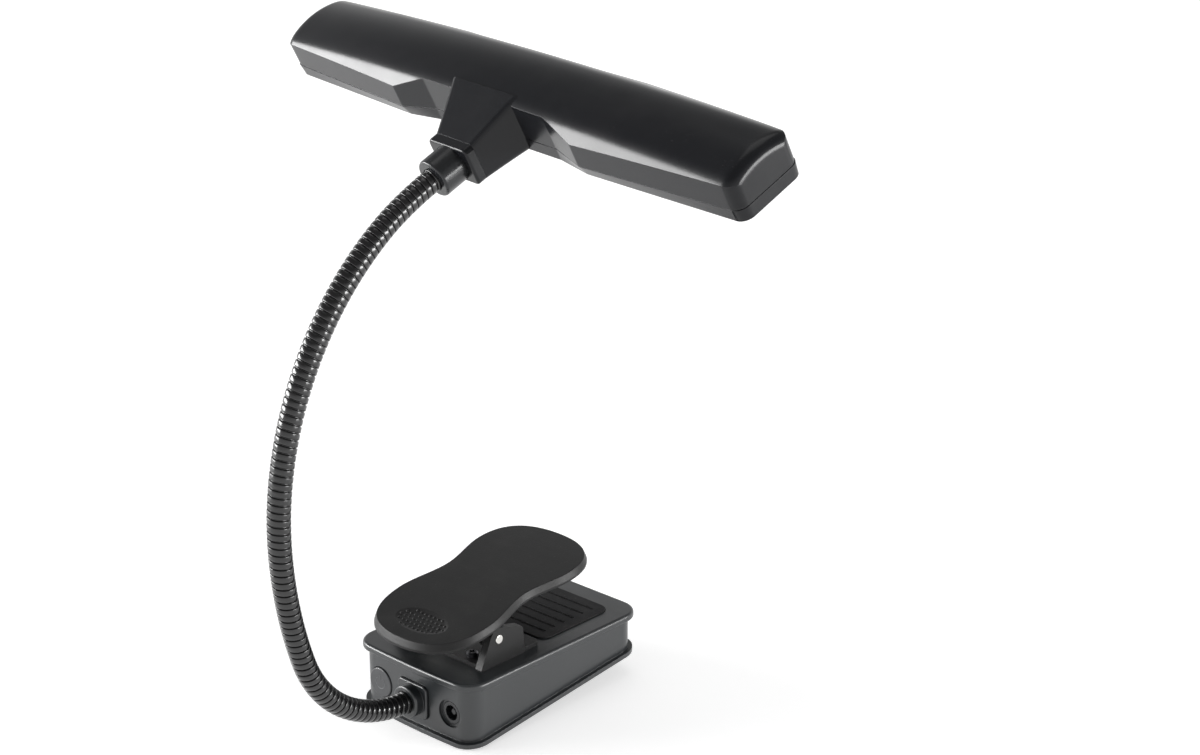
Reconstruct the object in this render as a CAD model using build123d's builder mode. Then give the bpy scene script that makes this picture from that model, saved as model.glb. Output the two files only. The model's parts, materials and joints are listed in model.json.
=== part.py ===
from build123d import *
import os
from math import acos, asin, atan2, cos, degrees, hypot, radians, sin, sqrt

# Clip-on desk lamp: a battery case that is also the lower jaw of a spring clamp, a thumb lever
# whose rear lobe is the upper jaw, a wound gooseneck, and a long LED head.
#
# The origin is the middle of the lower jaw pad's face. X runs across the lamp, Y from the case's
# front face towards the jaws, and Z up. Lengths are millimetres and angles degrees.

os.makedirs("parts", exist_ok=True)

# ---------------------------------------------------------------- driving dimensions

# case: a wedge, deeper at the front, with a lid whose rim overhangs its walls
case_width = 58.0
case_length = 86.0
case_front = -60.0  # Y of the rim at the front corners
case_bow = 1.0  # how far the front face bulges in its middle
case_corner = 8.5
case_height = 24.2  # at the front face
case_slope = 5.6  # the underside rises towards the rear
wall = 2.0
rim_overhang = 2.0
rim_round = 1.1
lid_thickness = 2.6
flange_reach = 1.6
flange_height = 1.6
seat_gap = 0.15  # between pieces that drop into one another
slide_gap = 0.25  # between pieces that slide or turn past one another

# jaw pad, let into the lid
pad_width = 42.0
pad_length = 34.0
pad_depth = 1.5
pad_proud = 0.5
pad_ribs = 6

# screws that hold the lid, from below
boss_radius = 3.0
boss_inset = 5.2  # from the walls' outer faces to the boss's axis
front_boss_back = 18.5  # behind the rim's front
rear_boss_ahead = 7.8  # ahead of the rim's rear
post_length = 5.0
screw_radius = 1.1
screw_head_radius = 2.1
screw_head_height = 1.5
screw_head_sink = 2.2

# battery bay, its door and three cells
cell_radius = 5.25
cell_length = 44.5
cell_pitch = 11.2
nub_radius = 1.9
nub_length = 1.2
leaf_room = 4.0  # for the leaf spring at each cell's flat end
contact_thickness = 0.4
bulkhead = 1.4
bay_front = 24.0  # along the underside, from the rim's front
door_width = 36.0
door_thickness = 1.8
door_lip = 0.9  # the tray's lip that carries the door
door_tongue = 1.5

# front face: button, gooseneck and jack, by their centres
front_height = -13.4  # below the rim's top
button_x = -16.8
button_radius = 5.4
button_proud = 0.6
button_flange = 6.4
button_travel = 0.8
jack_x = 17.2
jack_radius = 4.0
jack_recess_radius = 5.0
jack_recess = 0.8
jack_bore = 2.7
jack_pin = 1.0

# circuit board behind the front face
board_back = 9.5  # from the front wall's inner face
board_width = 46.0
board_height = 13.6
board_thickness = 1.6
rail_depth = 1.5  # how far the board's edges stand in their rails
switch_size = 6.0
switch_depth = 3.5
plunger_radius = 1.7

# gooseneck: radius and turn of each bend, from its collar up to the head
neck_radius = 4.0
neck_bends = ((45.0, 72.0), (148.0, 16.0), (112.4, 63.9))
neck_inside = 6.0  # straight stretch inside the case
neck_joints = (32.0, 80.0, 128.0, 176.0)  # where it is jointed, along it from the collar
joint_gap = 0.3
neck_swing = 35.0  # how far each joint turns either way
neck_tail = 10.0  # from the last joint to the collar
neck_socket = 16.0  # how far it goes into the head

# round-cornered plate and collar that the gooseneck leaves the case by
collar_wall = 1.8
collar_length = 4.4
flange_side = 1.3  # how far the plate stands out past the collar, to each side
flange_end = 0.4  # and above and below it
flange_proud = 1.0
sleeve_wall = 1.0
nut_wall = 1.5
nut_thickness = 3.0

# clamp bracket on the lid
bracket_half = 22.0
bracket_thick = 1.5
bracket_front = 12.4  # behind the rim's front
bracket_rear = 40.0
ear_outer = 22.5
ear_thick = 3.0
ear_front = 11.5
ear_rear = 32.2
ear_round = 4.1  # round the pin
ear_corner = 2.4
ear_rear_height = 11.0
pin_back = 20.0
pin_height = 9.3
pin_radius = 1.65
pin_fit = 0.02
pin_running = 0.08

# thumb lever: its top face is a long arc, given at its front, middle and rear
lever_front = -5.8
lever_rear = 73.5
lever_front_height = 11.6
lever_middle_height = 19.3
lever_rear_height = 25.0
lever_thick = 3.0
front_lobe = 23.4
front_lobe_back = 16.0
waist = 19.8
waist_back = 36.0
rear_lobe = 23.2
rear_lobe_back = 55.0
lug_thick = 2.6
lug_radius = 4.0
lever_rim_in = 0.9  # bevel round the lever's top: how far it draws in
lever_rim_down = 2.2  # and how far it runs down the edge
lever_round = 0.3  # where the bevel meets the top
pocket_skin = 1.4  # hollows under the front lobe, each side of a middle band
pocket_rim = 2.2
pocket_band = 15.0
grip_back = 5.6  # oval dish for the thumb
grip_long = 11.5
grip_short = 6.0
grip_depth = 0.5
grip_slope = 1.6  # how far the dish's sides run in

# rubber foot under the lever's rear lobe
jaw_gap = 16.2
foot_front = 44.0
foot_rear = 68.0
foot_half = 16.0

# torsion spring round the pin; its legs bear on the bracket and under the lever
spring_wire = 0.6
spring_slack = 0.35
spring_turns = 4
spring_length = 12.0
lower_leg = 7.6
upper_leg = 12.0
leg_gap = 0.3

# head: turned about the gooseneck's end by these angles
head_yaw = -8.1
head_pitch = 27.9
head_roll = 2.0
mouth_wall = 2.8
mouth_length = 9.2
cap_side = 3.1  # how far the cap stands out past the collar, to each side
cap_end = 0.2  # and above and below it
cap_depth = 3.6
neck_depth = 15.2  # from the cap to the head's front wall
neck_flare = 35.0
neck_pinch = 1.5  # how far the neck draws in midway, under a straight taper
head_half_length = 116.0
head_half_depth = 13.7
head_shoulder = 17.5
head_end_depth = 14.5
rear_end_depth = 11.6
inner_kink = 31.5
outer_kink = 46.5
end_round = 4.0  # round of the head's ends, down their corners and over the top
head_wall = 1.8
crown_ridge = 13.2  # height of the crown's edge over the parting line
crown_top = 15.7
front_ridge = 13.3  # from the head's middle to the crown's edges
rear_ridge = 11.3
ridge_round = 10.0
crown_arch = 2243.0  # radius of the crown's long arch
base_height = 4.5
base_taper = 1.8  # how much the shoulders draw in to the underside
base_end_taper = 0.4  # and the ends' corners
parting_gap = 0.2  # groove along the joint of cover and base, in each of them
parting_depth = 0.3
lens_margin = 16.0  # from the head's ends to the lens's
lens_half_width = 8.6
lens_thick = 1.2
lens_flange = 1.4
base_floor = 1.5
led_board_margin = 12.0
led_board_thick = 1.2
led_board_sink = 0.4  # how far the board is let into the base
led_rows = 2
led_columns = 14
led_edge = 9.0  # from the lens's ends to the outer LEDs
led_size = 3.0
led_height = 0.8
head_screw_x = 52.0
head_screw_radius = 0.9
head_screw_head = 1.6
head_screw_reach = 5.5  # above the parting line
head_boss_radius = 2.0
screw_wall = 0.6

# ---------------------------------------------------------------- derived sizes and places of the case

collar_radius = neck_radius + collar_wall
sleeve_radius = neck_radius + sleeve_wall
nut_across = 2 * (sleeve_radius + nut_wall)
flange_width = 2 * (collar_radius + flange_side)
flange_tall = 2 * (collar_radius + flange_end)

lid_top = -pad_proud
tray_top = lid_top - lid_thickness
wall_front = case_front + rim_overhang  # the front wall's outer face at its corners
wall_middle = wall_front - case_bow  # and in its middle
wall_half = case_width / 2 - rim_overhang
wall_rear = case_front + case_length - rim_overhang
underside = Plane(
    origin=(0, case_front, lid_top - case_height),
    x_dir=(1, 0, 0),
    z_dir=Vector(0, 0, 1).rotate(Axis.X, case_slope),
)
bow_radius = (wall_half**2 + case_bow**2) / (2 * case_bow)
front_z = lid_top + front_height
post_bottom = tray_top - post_length
boss_x = case_width / 2 - rim_overhang - boss_inset
boss_places = [
    (side * boss_x, y)
    for y in (case_front + front_boss_back, case_front + case_length - rear_boss_ahead)
    for side in (-1, 1)
]
screw_seats = [
    underside.origin.Z + (y - case_front) * sin(radians(case_slope)) / cos(radians(case_slope))
    + screw_head_sink
    for _, y in boss_places
]


def front_wall_at(x):
    """Y of the front wall's outer face at X = x."""
    return wall_front - (sqrt(bow_radius**2 - x**2) - (bow_radius - case_bow))


def case_outline(reach):
    """Plan of the case walls' outer faces, let out by reach."""
    half = wall_half + reach
    front = wall_front - reach
    rear = wall_rear + reach
    with BuildSketch() as outline:
        with BuildLine():
            ThreePointArc((-half, front), (0, front - case_bow), (half, front))
            Polyline((half, front), (half, rear), (-half, rear), (-half, front))
        make_face()
        fillet(outline.vertices(), radius=case_corner - rim_overhang + reach)
    return outline.sketch


def front_plane(y):
    """Upright plane at Y = y that looks out of the front face, its own Y up."""
    return Plane(origin=(0, y, 0), x_dir=(1, 0, 0), z_dir=(0, -1, 0))


def bay_plane(x, along, height, facing=1):
    """Plane across the battery bay, along it from the rim's front, over the underside."""
    return Plane(
        origin=underside.from_local_coords((x, along, height)),
        x_dir=(1, 0, 0),
        z_dir=underside.y_dir * facing,
    )


# ---------------------------------------------------------------- case tray

board_front = wall_middle + wall + board_back
button_face = front_wall_at(button_x) - button_proud
button_shoulder = front_wall_at(button_x) + wall + slide_gap - 0.2
door_front = bay_front + bulkhead
door_end = (wall_rear + flange_reach - case_front) / cos(radians(case_slope))
bay_rear = door_front + 2 * contact_thickness + leaf_room + cell_length
inner_half = wall_half - wall
rib_top = tray_top - 2.0

with BuildPart() as flange_band:
    with BuildSketch(Plane.XY.offset(tray_top)):
        add(case_outline(flange_reach))
    extrude(amount=-case_height)
    split(bisect_by=underside)
    split(bisect_by=underside.offset(flange_height), keep=Keep.BOTTOM)

with BuildPart() as bay_ribs:
    with BuildSketch(underside.offset(wall)):
        with Locations((0, bay_front + bulkhead / 2), (0, bay_rear + bulkhead / 2)):
            Rectangle(2 * inner_half + 1, bulkhead)
    extrude(amount=case_height)
    split(bisect_by=Plane.XY.offset(rib_top), keep=Keep.BOTTOM)

with BuildPart() as board_rails:
    with BuildSketch(Plane.XY.offset(rib_top)):
        with Locations(
            (-inner_half, board_front + board_thickness / 2),
            (inner_half, board_front + board_thickness / 2),
        ):
            Rectangle(2 * (inner_half - board_width / 2 + rail_depth), board_thickness + 3.0)
        with Locations((0, board_front + board_thickness / 2)):
            Rectangle(board_width + 2 * seat_gap, board_thickness + 2 * seat_gap, mode=Mode.SUBTRACT)
    extrude(amount=-case_height)

with BuildPart() as case_tray:
    with BuildSketch(Plane.XY.offset(tray_top)):
        add(case_outline(0))
    extrude(amount=-case_height)
    split(bisect_by=underside)
    offset(amount=-wall, openings=case_tray.faces().sort_by(Axis.Z)[-1])
    with BuildSketch(Plane.XY.offset(post_bottom)):
        with Locations(*boss_places):
            Circle(boss_radius)
    extrude(amount=-case_height)
    add(board_rails.part)
    split(bisect_by=underside)
    add(bay_ribs.part)
    add(flange_band.part)
    with BuildSketch(Plane.XY.offset(tray_top)):
        add(case_outline(flange_reach + 10))
        add(case_outline(flange_reach), mode=Mode.SUBTRACT)
    extrude(amount=-2 * case_height, mode=Mode.SUBTRACT)
    # door opening: narrow through the lip, wider above it for the door's tongues
    with BuildSketch(underside):
        with Locations((0, door_front + case_length / 2)):
            Rectangle(door_width + 2 * slide_gap, case_length)
    extrude(amount=door_lip, mode=Mode.SUBTRACT)
    with BuildSketch(underside.offset(door_lip)):
        with Locations((0, door_front + case_length / 2)):
            Rectangle(door_width + 2 * door_tongue + 2 * slide_gap, case_length)
    extrude(amount=wall - door_lip, mode=Mode.SUBTRACT)
    # lid screws
    with BuildSketch(Plane.XY.offset(post_bottom)):
        with Locations(*boss_places):
            Circle(screw_radius + seat_gap)
    extrude(amount=-case_height, mode=Mode.SUBTRACT)
    for place, seat in zip(boss_places, screw_seats):
        with BuildSketch(Plane.XY.offset(seat)):
            with Locations(place):
                Circle(screw_head_radius + seat_gap)
        extrude(amount=-case_height, mode=Mode.SUBTRACT)
    # holes in the front face
    with BuildSketch(front_plane(wall_middle + 2 * wall)):
        with Locations((button_x, front_z)):
            Circle(button_radius + slide_gap)
        with Locations((0, front_z)):
            Circle(sleeve_radius + seat_gap)
        with Locations((jack_x, front_z)):
            Circle(jack_radius + seat_gap)
    extrude(amount=4 * wall, mode=Mode.SUBTRACT)
    with BuildSketch(front_plane(wall_middle + 0.5)):
        with Locations((0, front_z)):
            RectangleRounded(flange_width + 2 * seat_gap, flange_tall + 2 * seat_gap, 2.2)
    extrude(amount=2 * wall, mode=Mode.SUBTRACT)
    with BuildSketch(front_plane(front_wall_at(jack_x) + jack_recess)):
        with Locations((jack_x, front_z)):
            Circle(jack_recess_radius)
    extrude(amount=2 * wall, mode=Mode.SUBTRACT)

    # flat seats inside the bowed front wall for the gooseneck's nut and the button's flange
    with BuildSketch(front_plane(wall_middle + wall)):
        with Locations((0, front_z)):
            Circle(nut_across / sqrt(3) + slide_gap)
    extrude(amount=-2, mode=Mode.SUBTRACT)
    with BuildSketch(front_plane(button_shoulder - slide_gap)):
        with Locations((button_x, front_z)):
            Circle(button_flange + slide_gap)
    extrude(amount=-2, mode=Mode.SUBTRACT)

case_tray.part.label = "case_tray"
export_step(case_tray.part, "parts/case_tray.step")

# ---------------------------------------------------------------- lid and jaw pad

lip_wall = 1.2
lip_depth = 1.6
bracket_screws = [
    (side * 13.0, case_front + y) for y in (bracket_front + 4.0, bracket_rear - 4.0) for side in (-1, 1)
]
bracket_post = 3.8

with BuildPart() as case_lid:
    with BuildSketch(Plane.XY.offset(tray_top)):
        add(case_outline(rim_overhang))
    extrude(amount=lid_thickness)
    fillet(case_lid.faces().sort_by(Axis.Z)[-1].edges(), radius=rim_round)
    fillet(case_lid.faces().sort_by(Axis.Z)[0].edges(), radius=rim_round / 2)
    with BuildSketch(Plane.XY.offset(tray_top)):
        add(case_outline(-wall - seat_gap))
        add(case_outline(-wall - seat_gap - lip_wall), mode=Mode.SUBTRACT)
    extrude(amount=-lip_depth)
    with BuildSketch(Plane.XY.offset(tray_top)):
        with Locations(*boss_places):
            Circle(boss_radius - 0.4)
    extrude(amount=-post_length)
    with BuildSketch(Plane.XY.offset(tray_top)):
        with Locations(*bracket_screws):
            Circle(boss_radius - 0.4)
    extrude(amount=-bracket_post)
    with BuildSketch(Plane.XY.offset(post_bottom)):
        with Locations(*boss_places):
            Circle(screw_radius - 0.2)
    extrude(amount=post_length + 0.8, mode=Mode.SUBTRACT)
    with BuildSketch(Plane.XY.offset(lid_top)):
        with Locations(*bracket_screws):
            Circle(screw_radius - 0.2)
    extrude(amount=-bracket_post - lid_thickness + 1.0, mode=Mode.SUBTRACT)
    with BuildSketch(Plane.XY.offset(lid_top - pad_depth)):
        RectangleRounded(pad_width + 2 * seat_gap, pad_length + 2 * seat_gap, 4.0 + seat_gap)
    extrude(amount=pad_depth + 1, mode=Mode.SUBTRACT)

case_lid.part.label = "case_lid"
export_step(case_lid.part, "parts/case_lid.step")

with BuildPart() as jaw_pad:
    with BuildSketch(Plane.XY.offset(lid_top - pad_depth)):
        RectangleRounded(pad_width, pad_length, 4.0)
    extrude(amount=pad_depth + pad_proud)
    with BuildSketch(Plane.XY):
        with GridLocations(0, pad_length / (pad_ribs + 1), 1, pad_ribs):
            Rectangle(pad_width - 8, 1.4)
    extrude(amount=-0.6, mode=Mode.SUBTRACT)

jaw_pad.part.label = "jaw_pad"
export_step(jaw_pad.part, "parts/jaw_pad.step")

with BuildPart() as case_screws:
    for place, seat in zip(boss_places, screw_seats):
        with BuildSketch(Plane.XY.offset(seat)):
            with Locations(place):
                Circle(screw_head_radius)
        extrude(amount=-screw_head_height)
        with BuildSketch(Plane.XY.offset(seat)):
            with Locations(place):
                Circle(screw_radius - 0.2)
        extrude(amount=tray_top - seat)

case_screws.part.label = "case_screws"
export_step(case_screws.part, "parts/case_screws.step")

# ---------------------------------------------------------------- battery door, cells, contacts

with BuildPart() as battery_door:
    with BuildSketch(underside):
        with Locations((0, (door_front + slide_gap + door_end) / 2)):
            Rectangle(door_width, door_end - door_front - slide_gap)
    extrude(amount=door_thickness)
    with BuildSketch(underside.offset(door_lip + slide_gap)):
        with Locations((0, (door_front + slide_gap + door_end - 4) / 2)):
            Rectangle(door_width + 2 * door_tongue, door_end - 4 - door_front - slide_gap)
    extrude(amount=door_thickness - door_lip - slide_gap)
    with BuildSketch(underside):
        with Locations((0, door_end - 16)):
            with GridLocations(0, 2.4, 1, 5):
                Rectangle(16, 1.2)
    extrude(amount=0.6, mode=Mode.SUBTRACT)

battery_door.part.label = "battery_door"
export_step(battery_door.part, "parts/battery_door.step")

cell_height = door_thickness + 0.3 + cell_radius
cell_start = door_front + contact_thickness
cells = (("cell_left", -cell_pitch, 1), ("cell_middle", 0.0, -1), ("cell_right", cell_pitch, 1))
for cell_name, cell_x, facing in cells:
    flat_end = cell_start + (leaf_room if facing > 0 else cell_length)
    with BuildPart() as cell:
        with BuildSketch(bay_plane(cell_x, flat_end, cell_height, facing)):
            Circle(cell_radius)
        extrude(amount=cell_length - nub_length)
        fillet(cell.edges(), radius=0.6)
        with BuildSketch(
            bay_plane(cell_x, flat_end + facing * (cell_length - nub_length), cell_height, facing)
        ):
            Circle(nub_radius)
        extrude(amount=nub_length)
    cell.part.label = cell_name
    export_step(cell.part, f"parts/{cell_name}.step")

contact_half = 4.2


def contact(x, along, facing, sprung):
    """Contact plate against a bay wall, with a bent leaf where it meets a cell's flat end."""
    with BuildPart() as plate:
        with BuildSketch(bay_plane(x, along, cell_height, facing)):
            Rectangle(2 * contact_half, 2 * contact_half)
        extrude(amount=contact_thickness)
        if sprung:
            profile = Plane(
                origin=underside.from_local_coords((x, along, cell_height)),
                x_dir=underside.y_dir * facing,
                z_dir=(facing, 0, 0),
            )
            with BuildSketch(profile) as leaf:
                with BuildLine():
                    Polyline(
                        (contact_thickness / 2, -contact_half + 0.2),
                        (leaf_room, -0.4),
                        (contact_thickness + 0.8, 3.0),
                    )
                trace(line_width=0.35)
            extrude(amount=1.6, both=True)
    return plate.part


for contacts_name, along, facing in (
    ("front_contacts", door_front, 1),
    ("rear_contacts", bay_rear, -1),
):
    with BuildPart() as contacts:
        for _, cell_x, cell_facing in cells:
            add(contact(cell_x, along, facing, cell_facing == facing))
    contacts.part.label = contacts_name
    export_step(contacts.part, f"parts/{contacts_name}.step")

# ---------------------------------------------------------------- circuit board, switch, button, jack

board_face = front_plane(board_front)

with BuildPart() as circuit_board:
    with BuildSketch(board_face):
        with Locations((0, front_z)):
            Rectangle(board_width, board_height)
            Circle(3.0, mode=Mode.SUBTRACT)
    extrude(amount=-board_thickness)
    with BuildSketch(front_plane(board_front + board_thickness)):
        with Locations((-12, front_z + 1), (13, front_z - 2)):
            Rectangle(5, 4)
        with Locations((5, front_z + 3)):
            Rectangle(3, 2)
    extrude(amount=-1.2)

circuit_board.part.label = "circuit_board"
export_step(circuit_board.part, "parts/circuit_board.step")

switch_face = board_front - switch_depth
with BuildPart() as switch_body:
    with BuildSketch(board_face):
        with Locations((button_x, front_z)):
            Rectangle(switch_size, switch_size)
    extrude(amount=switch_depth)
    with BuildSketch(front_plane(switch_face)):
        with Locations((button_x, front_z)):
            Circle(plunger_radius + joint_gap)
    extrude(amount=-switch_depth + 0.4, mode=Mode.SUBTRACT)

switch_body.part.label = "switch_body"
export_step(switch_body.part, "parts/switch_body.step")

plunger_front = switch_face - button_travel - 0.6

with BuildPart() as power_button:
    with BuildSketch(front_plane(button_face)):
        with Locations((button_x, front_z)):
            Circle(button_radius)
    extrude(amount=button_face - button_shoulder)
    fillet(power_button.faces().sort_by(Axis.Y)[0].edges(), radius=0.5)
    with BuildSketch(front_plane(button_shoulder)):
        with Locations((button_x, front_z)):
            Circle(button_flange)
    extrude(amount=-1.0)
    with BuildSketch(front_plane(button_shoulder + 1.0)):
        with Locations((button_x, front_z)):
            Circle(plunger_radius)
    extrude(amount=button_shoulder + 1.0 - plunger_front)

power_button.part.label = "power_button"
export_step(power_button.part, "parts/power_button.step")

with BuildPart() as switch_plunger:
    with BuildSketch(front_plane(plunger_front)):
        with Locations((button_x, front_z)):
            Circle(plunger_radius)
    extrude(amount=plunger_front - switch_face - switch_depth + 0.4 + button_travel + 0.2)

switch_plunger.part.label = "switch_plunger"
export_step(switch_plunger.part, "parts/switch_plunger.step")

jack_front = front_wall_at(jack_x) + jack_recess
with BuildPart() as dc_jack:
    with BuildSketch(front_plane(jack_front)):
        with Locations((jack_x, front_z)):
            Circle(jack_radius)
    extrude(amount=jack_front - board_front)
    with BuildSketch(board_face):
        with Locations((jack_x, front_z)):
            Rectangle(2 * jack_radius, 2 * jack_radius + 2)
    extrude(amount=board_back - 1.5)
    with BuildSketch(front_plane(jack_front)):
        with Locations((jack_x, front_z)):
            Circle(jack_bore)
    extrude(amount=jack_front - board_front + 1.5, mode=Mode.SUBTRACT)
    with BuildSketch(board_face):
        with Locations((jack_x, front_z)):
            Circle(jack_pin)
    extrude(amount=board_front - jack_front - 1.0)

dc_jack.part.label = "dc_jack"
export_step(dc_jack.part, "parts/dc_jack.step")

# ---------------------------------------------------------------- gooseneck

neck_height = front_z


def neck_place(distance):
    """Point and heading of the gooseneck's centre line, distance along it from its collar.

    The heading is an angle in the YZ plane: 180 points forward, out of the case, and 90 up.
    """
    y, z, heading = wall_middle - collar_length, neck_height, 180.0
    if distance <= 0:
        return Vector(0, y - distance, z), heading
    for radius, turn in neck_bends:
        length = radians(turn) * radius
        step = min(distance, length)
        after = heading - degrees(step / radius)
        y += radius * (sin(radians(heading)) - sin(radians(after)))
        z += radius * (cos(radians(after)) - cos(radians(heading)))
        heading = after
        distance -= step
        if distance <= 0:
            break
    return Vector(0, y, z), heading


def neck_tangent(distance):
    heading = radians(neck_place(distance)[1])
    return Vector(0, cos(heading), sin(heading))


def neck_arcs(start, end):
    """Ends and middles of the arcs that make the centre line from start to end."""
    marks = [start]
    passed = 0.0
    if start < 0:
        marks.append(0.0)
    for radius, turn in neck_bends:
        passed += radians(turn) * radius
        if start < passed < end:
            marks.append(passed)
    marks.append(end)
    return list(zip(marks, marks[1:]))


def turned(direction):
    """A direction of the head's own frame, in the lamp's frame."""
    rolled = Vector(*direction).rotate(Axis.Y, head_roll)
    return rolled.rotate(Axis.X, head_pitch).rotate(Axis.Z, head_yaw)


neck_length = sum(radians(turn) * radius for radius, turn in neck_bends)
joint_places = (*neck_joints, neck_length)
ball_radius = neck_radius - joint_gap / 2
cup_radius = ball_radius + joint_gap
cup_rise = degrees(asin(sqrt(cup_radius**2 - neck_radius**2) / cup_radius))
head_kink = neck_tangent(neck_length).get_angle(turned((0, 1, 0)))


def gooseneck_piece(start, end, cup, kink):
    """Stretch of gooseneck that ends in a ball at the joint at end and starts in a cup.

    The next stretch stands at an angle of kink to this one. The ball's stalk is long enough for
    the joint to turn as far again as its swing.
    """
    joint_groove = cup_radius * sin(radians(neck_swing + kink + 1.5 - cup_rise))
    with BuildPart() as piece:
        with BuildLine() as route:
            for low, high in neck_arcs(start, end - joint_groove):
                if high <= 0:
                    Line(neck_place(low)[0], neck_place(high)[0])
                else:
                    ThreePointArc(
                        neck_place(low)[0], neck_place((low + high) / 2)[0], neck_place(high)[0]
                    )
        with BuildSketch(Plane(origin=neck_place(start)[0], x_dir=(1, 0, 0), z_dir=neck_tangent(start))):
            Circle(neck_radius)
        sweep()
        with BuildSketch(
            Plane(
                origin=neck_place(end - joint_groove)[0],
                x_dir=(1, 0, 0),
                z_dir=neck_tangent(end - joint_groove),
            )
        ):
            Circle(neck_radius - 0.8)
        extrude(amount=joint_groove)
        with Locations(neck_place(end)[0]):
            Sphere(ball_radius)
        if cup:
            with Locations(neck_place(start)[0]):
                Sphere(cup_radius, mode=Mode.SUBTRACT)
    return piece.part


for number, (start, end) in enumerate(zip((-neck_inside - collar_length, *joint_places), joint_places)):
    kink = head_kink if end == neck_length else 0.0
    with BuildPart() as gooseneck:
        add(gooseneck_piece(start, end, cup=number > 0, kink=kink))
    gooseneck.part.label = f"gooseneck_{number + 1}"
    export_step(gooseneck.part, f"parts/gooseneck_{number + 1}.step")

with BuildPart() as neck_flange:
    with BuildSketch(front_plane(wall_middle + 0.5)):
        with Locations((0, front_z)):
            RectangleRounded(flange_width, flange_tall, 2.0)
    extrude(amount=0.5 + flange_proud)
    fillet(neck_flange.faces().sort_by(Axis.Y)[0].edges(), radius=0.5)
    with BuildSketch(front_plane(wall_middle)):
        with Locations((0, front_z)):
            Circle(collar_radius)
    extrude(amount=collar_length)
    fillet(neck_flange.faces().sort_by(Axis.Y)[0].edges(), radius=0.8)
    with BuildSketch(front_plane(wall_middle + wall + nut_thickness + 0.5)):
        with Locations((0, front_z)):
            Circle(sleeve_radius)
    extrude(amount=wall + nut_thickness + 0.5)
    with BuildSketch(front_plane(wall_middle + 2 * neck_inside)):
        with Locations((0, front_z)):
            Circle(neck_radius + 0.05)
    extrude(amount=4 * neck_inside, mode=Mode.SUBTRACT)

neck_flange.part.label = "neck_flange"
export_step(neck_flange.part, "parts/neck_flange.step")

with BuildPart() as neck_nut:
    with BuildSketch(front_plane(wall_middle + wall)):
        with Locations((0, front_z)):
            RegularPolygon(nut_across / 2, 6, major_radius=False)
            Circle(sleeve_radius + 0.02, mode=Mode.SUBTRACT)
    extrude(amount=-nut_thickness)

neck_nut.part.label = "neck_nut"
export_step(neck_nut.part, "parts/neck_nut.step")

# ---------------------------------------------------------------- clamp bracket, pin and spring

lever_middle = (lever_front + lever_rear) / 2
lever_half = lever_middle - lever_front


def lever_height_at(back):
    """Height of the lever's long arc over the lid, that far behind the rim's front."""
    along = (back - lever_middle) / lever_half
    mean = (lever_front_height + lever_rear_height) / 2
    chord = mean + along * (lever_rear_height - mean)
    return chord + (1 - along**2) * (lever_middle_height - mean)


pin_y = case_front + pin_back
pin_z = lid_top + pin_height
bracket_middle = case_front + (bracket_front + bracket_rear) / 2
ear_top = (case_front + ear_rear - ear_corner - 0.6, lid_top + ear_rear_height - ear_corner)

with BuildPart() as clamp_bracket:
    with BuildSketch(Plane.XY.offset(lid_top)):
        with Locations((0, bracket_middle)):
            RectangleRounded(2 * bracket_half, bracket_rear - bracket_front, 1.5)
    extrude(amount=bracket_thick)
    with BuildSketch(Plane.YZ.offset(ear_outer - ear_thick)):
        with BuildSketch(mode=Mode.PRIVATE) as ear_marks:
            with Locations((pin_y, pin_z)):
                Circle(ear_round)
            with Locations(ear_top):
                Circle(ear_corner)
            with Locations((case_front + (ear_front + ear_rear) / 2, lid_top + 0.2)):
                Rectangle(ear_rear - ear_front, 0.4)
        make_hull(ear_marks.edges())
    extrude(amount=ear_thick)
    mirror(about=Plane.YZ)
    with BuildSketch(Plane.YZ.offset(-case_width)):
        with Locations((pin_y, pin_z)):
            Circle(pin_radius + pin_fit)
    extrude(amount=2 * case_width, mode=Mode.SUBTRACT)
    with BuildSketch(Plane.XY.offset(lid_top)):
        with Locations(*bracket_screws):
            Circle(screw_radius + seat_gap)
    extrude(amount=bracket_thick + 1, mode=Mode.SUBTRACT)

clamp_bracket.part.label = "clamp_bracket"
export_step(clamp_bracket.part, "parts/clamp_bracket.step")

with BuildPart() as bracket_screw_set:
    with BuildSketch(Plane.XY.offset(lid_top + bracket_thick)):
        with Locations(*bracket_screws):
            Circle(screw_head_radius)
    extrude(amount=screw_head_height)
    with BuildSketch(Plane.XY.offset(lid_top + bracket_thick)):
        with Locations(*bracket_screws):
            Circle(screw_radius - 0.22)
    extrude(amount=-bracket_post)

bracket_screw_set.part.label = "bracket_screws"
export_step(bracket_screw_set.part, "parts/bracket_screws.step")

with BuildPart() as pivot_pin:
    with BuildSketch(Plane.YZ.offset(-ear_outer - 0.3)):
        with Locations((pin_y, pin_z)):
            Circle(pin_radius)
    extrude(amount=2 * ear_outer + 0.6)
    fillet(pivot_pin.edges().filter_by(GeomType.CIRCLE), radius=0.3)

pivot_pin.part.label = "pivot_pin"
export_step(pivot_pin.part, "parts/pivot_pin.step")

spring_radius = pin_radius + spring_slack + spring_wire


def leg_dip(length, reach):
    """Turn of a leg that starts square to the coil and ends that far from the pin's axis."""
    return degrees(atan2(length, spring_radius) - acos(reach / hypot(length, spring_radius)))


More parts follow.
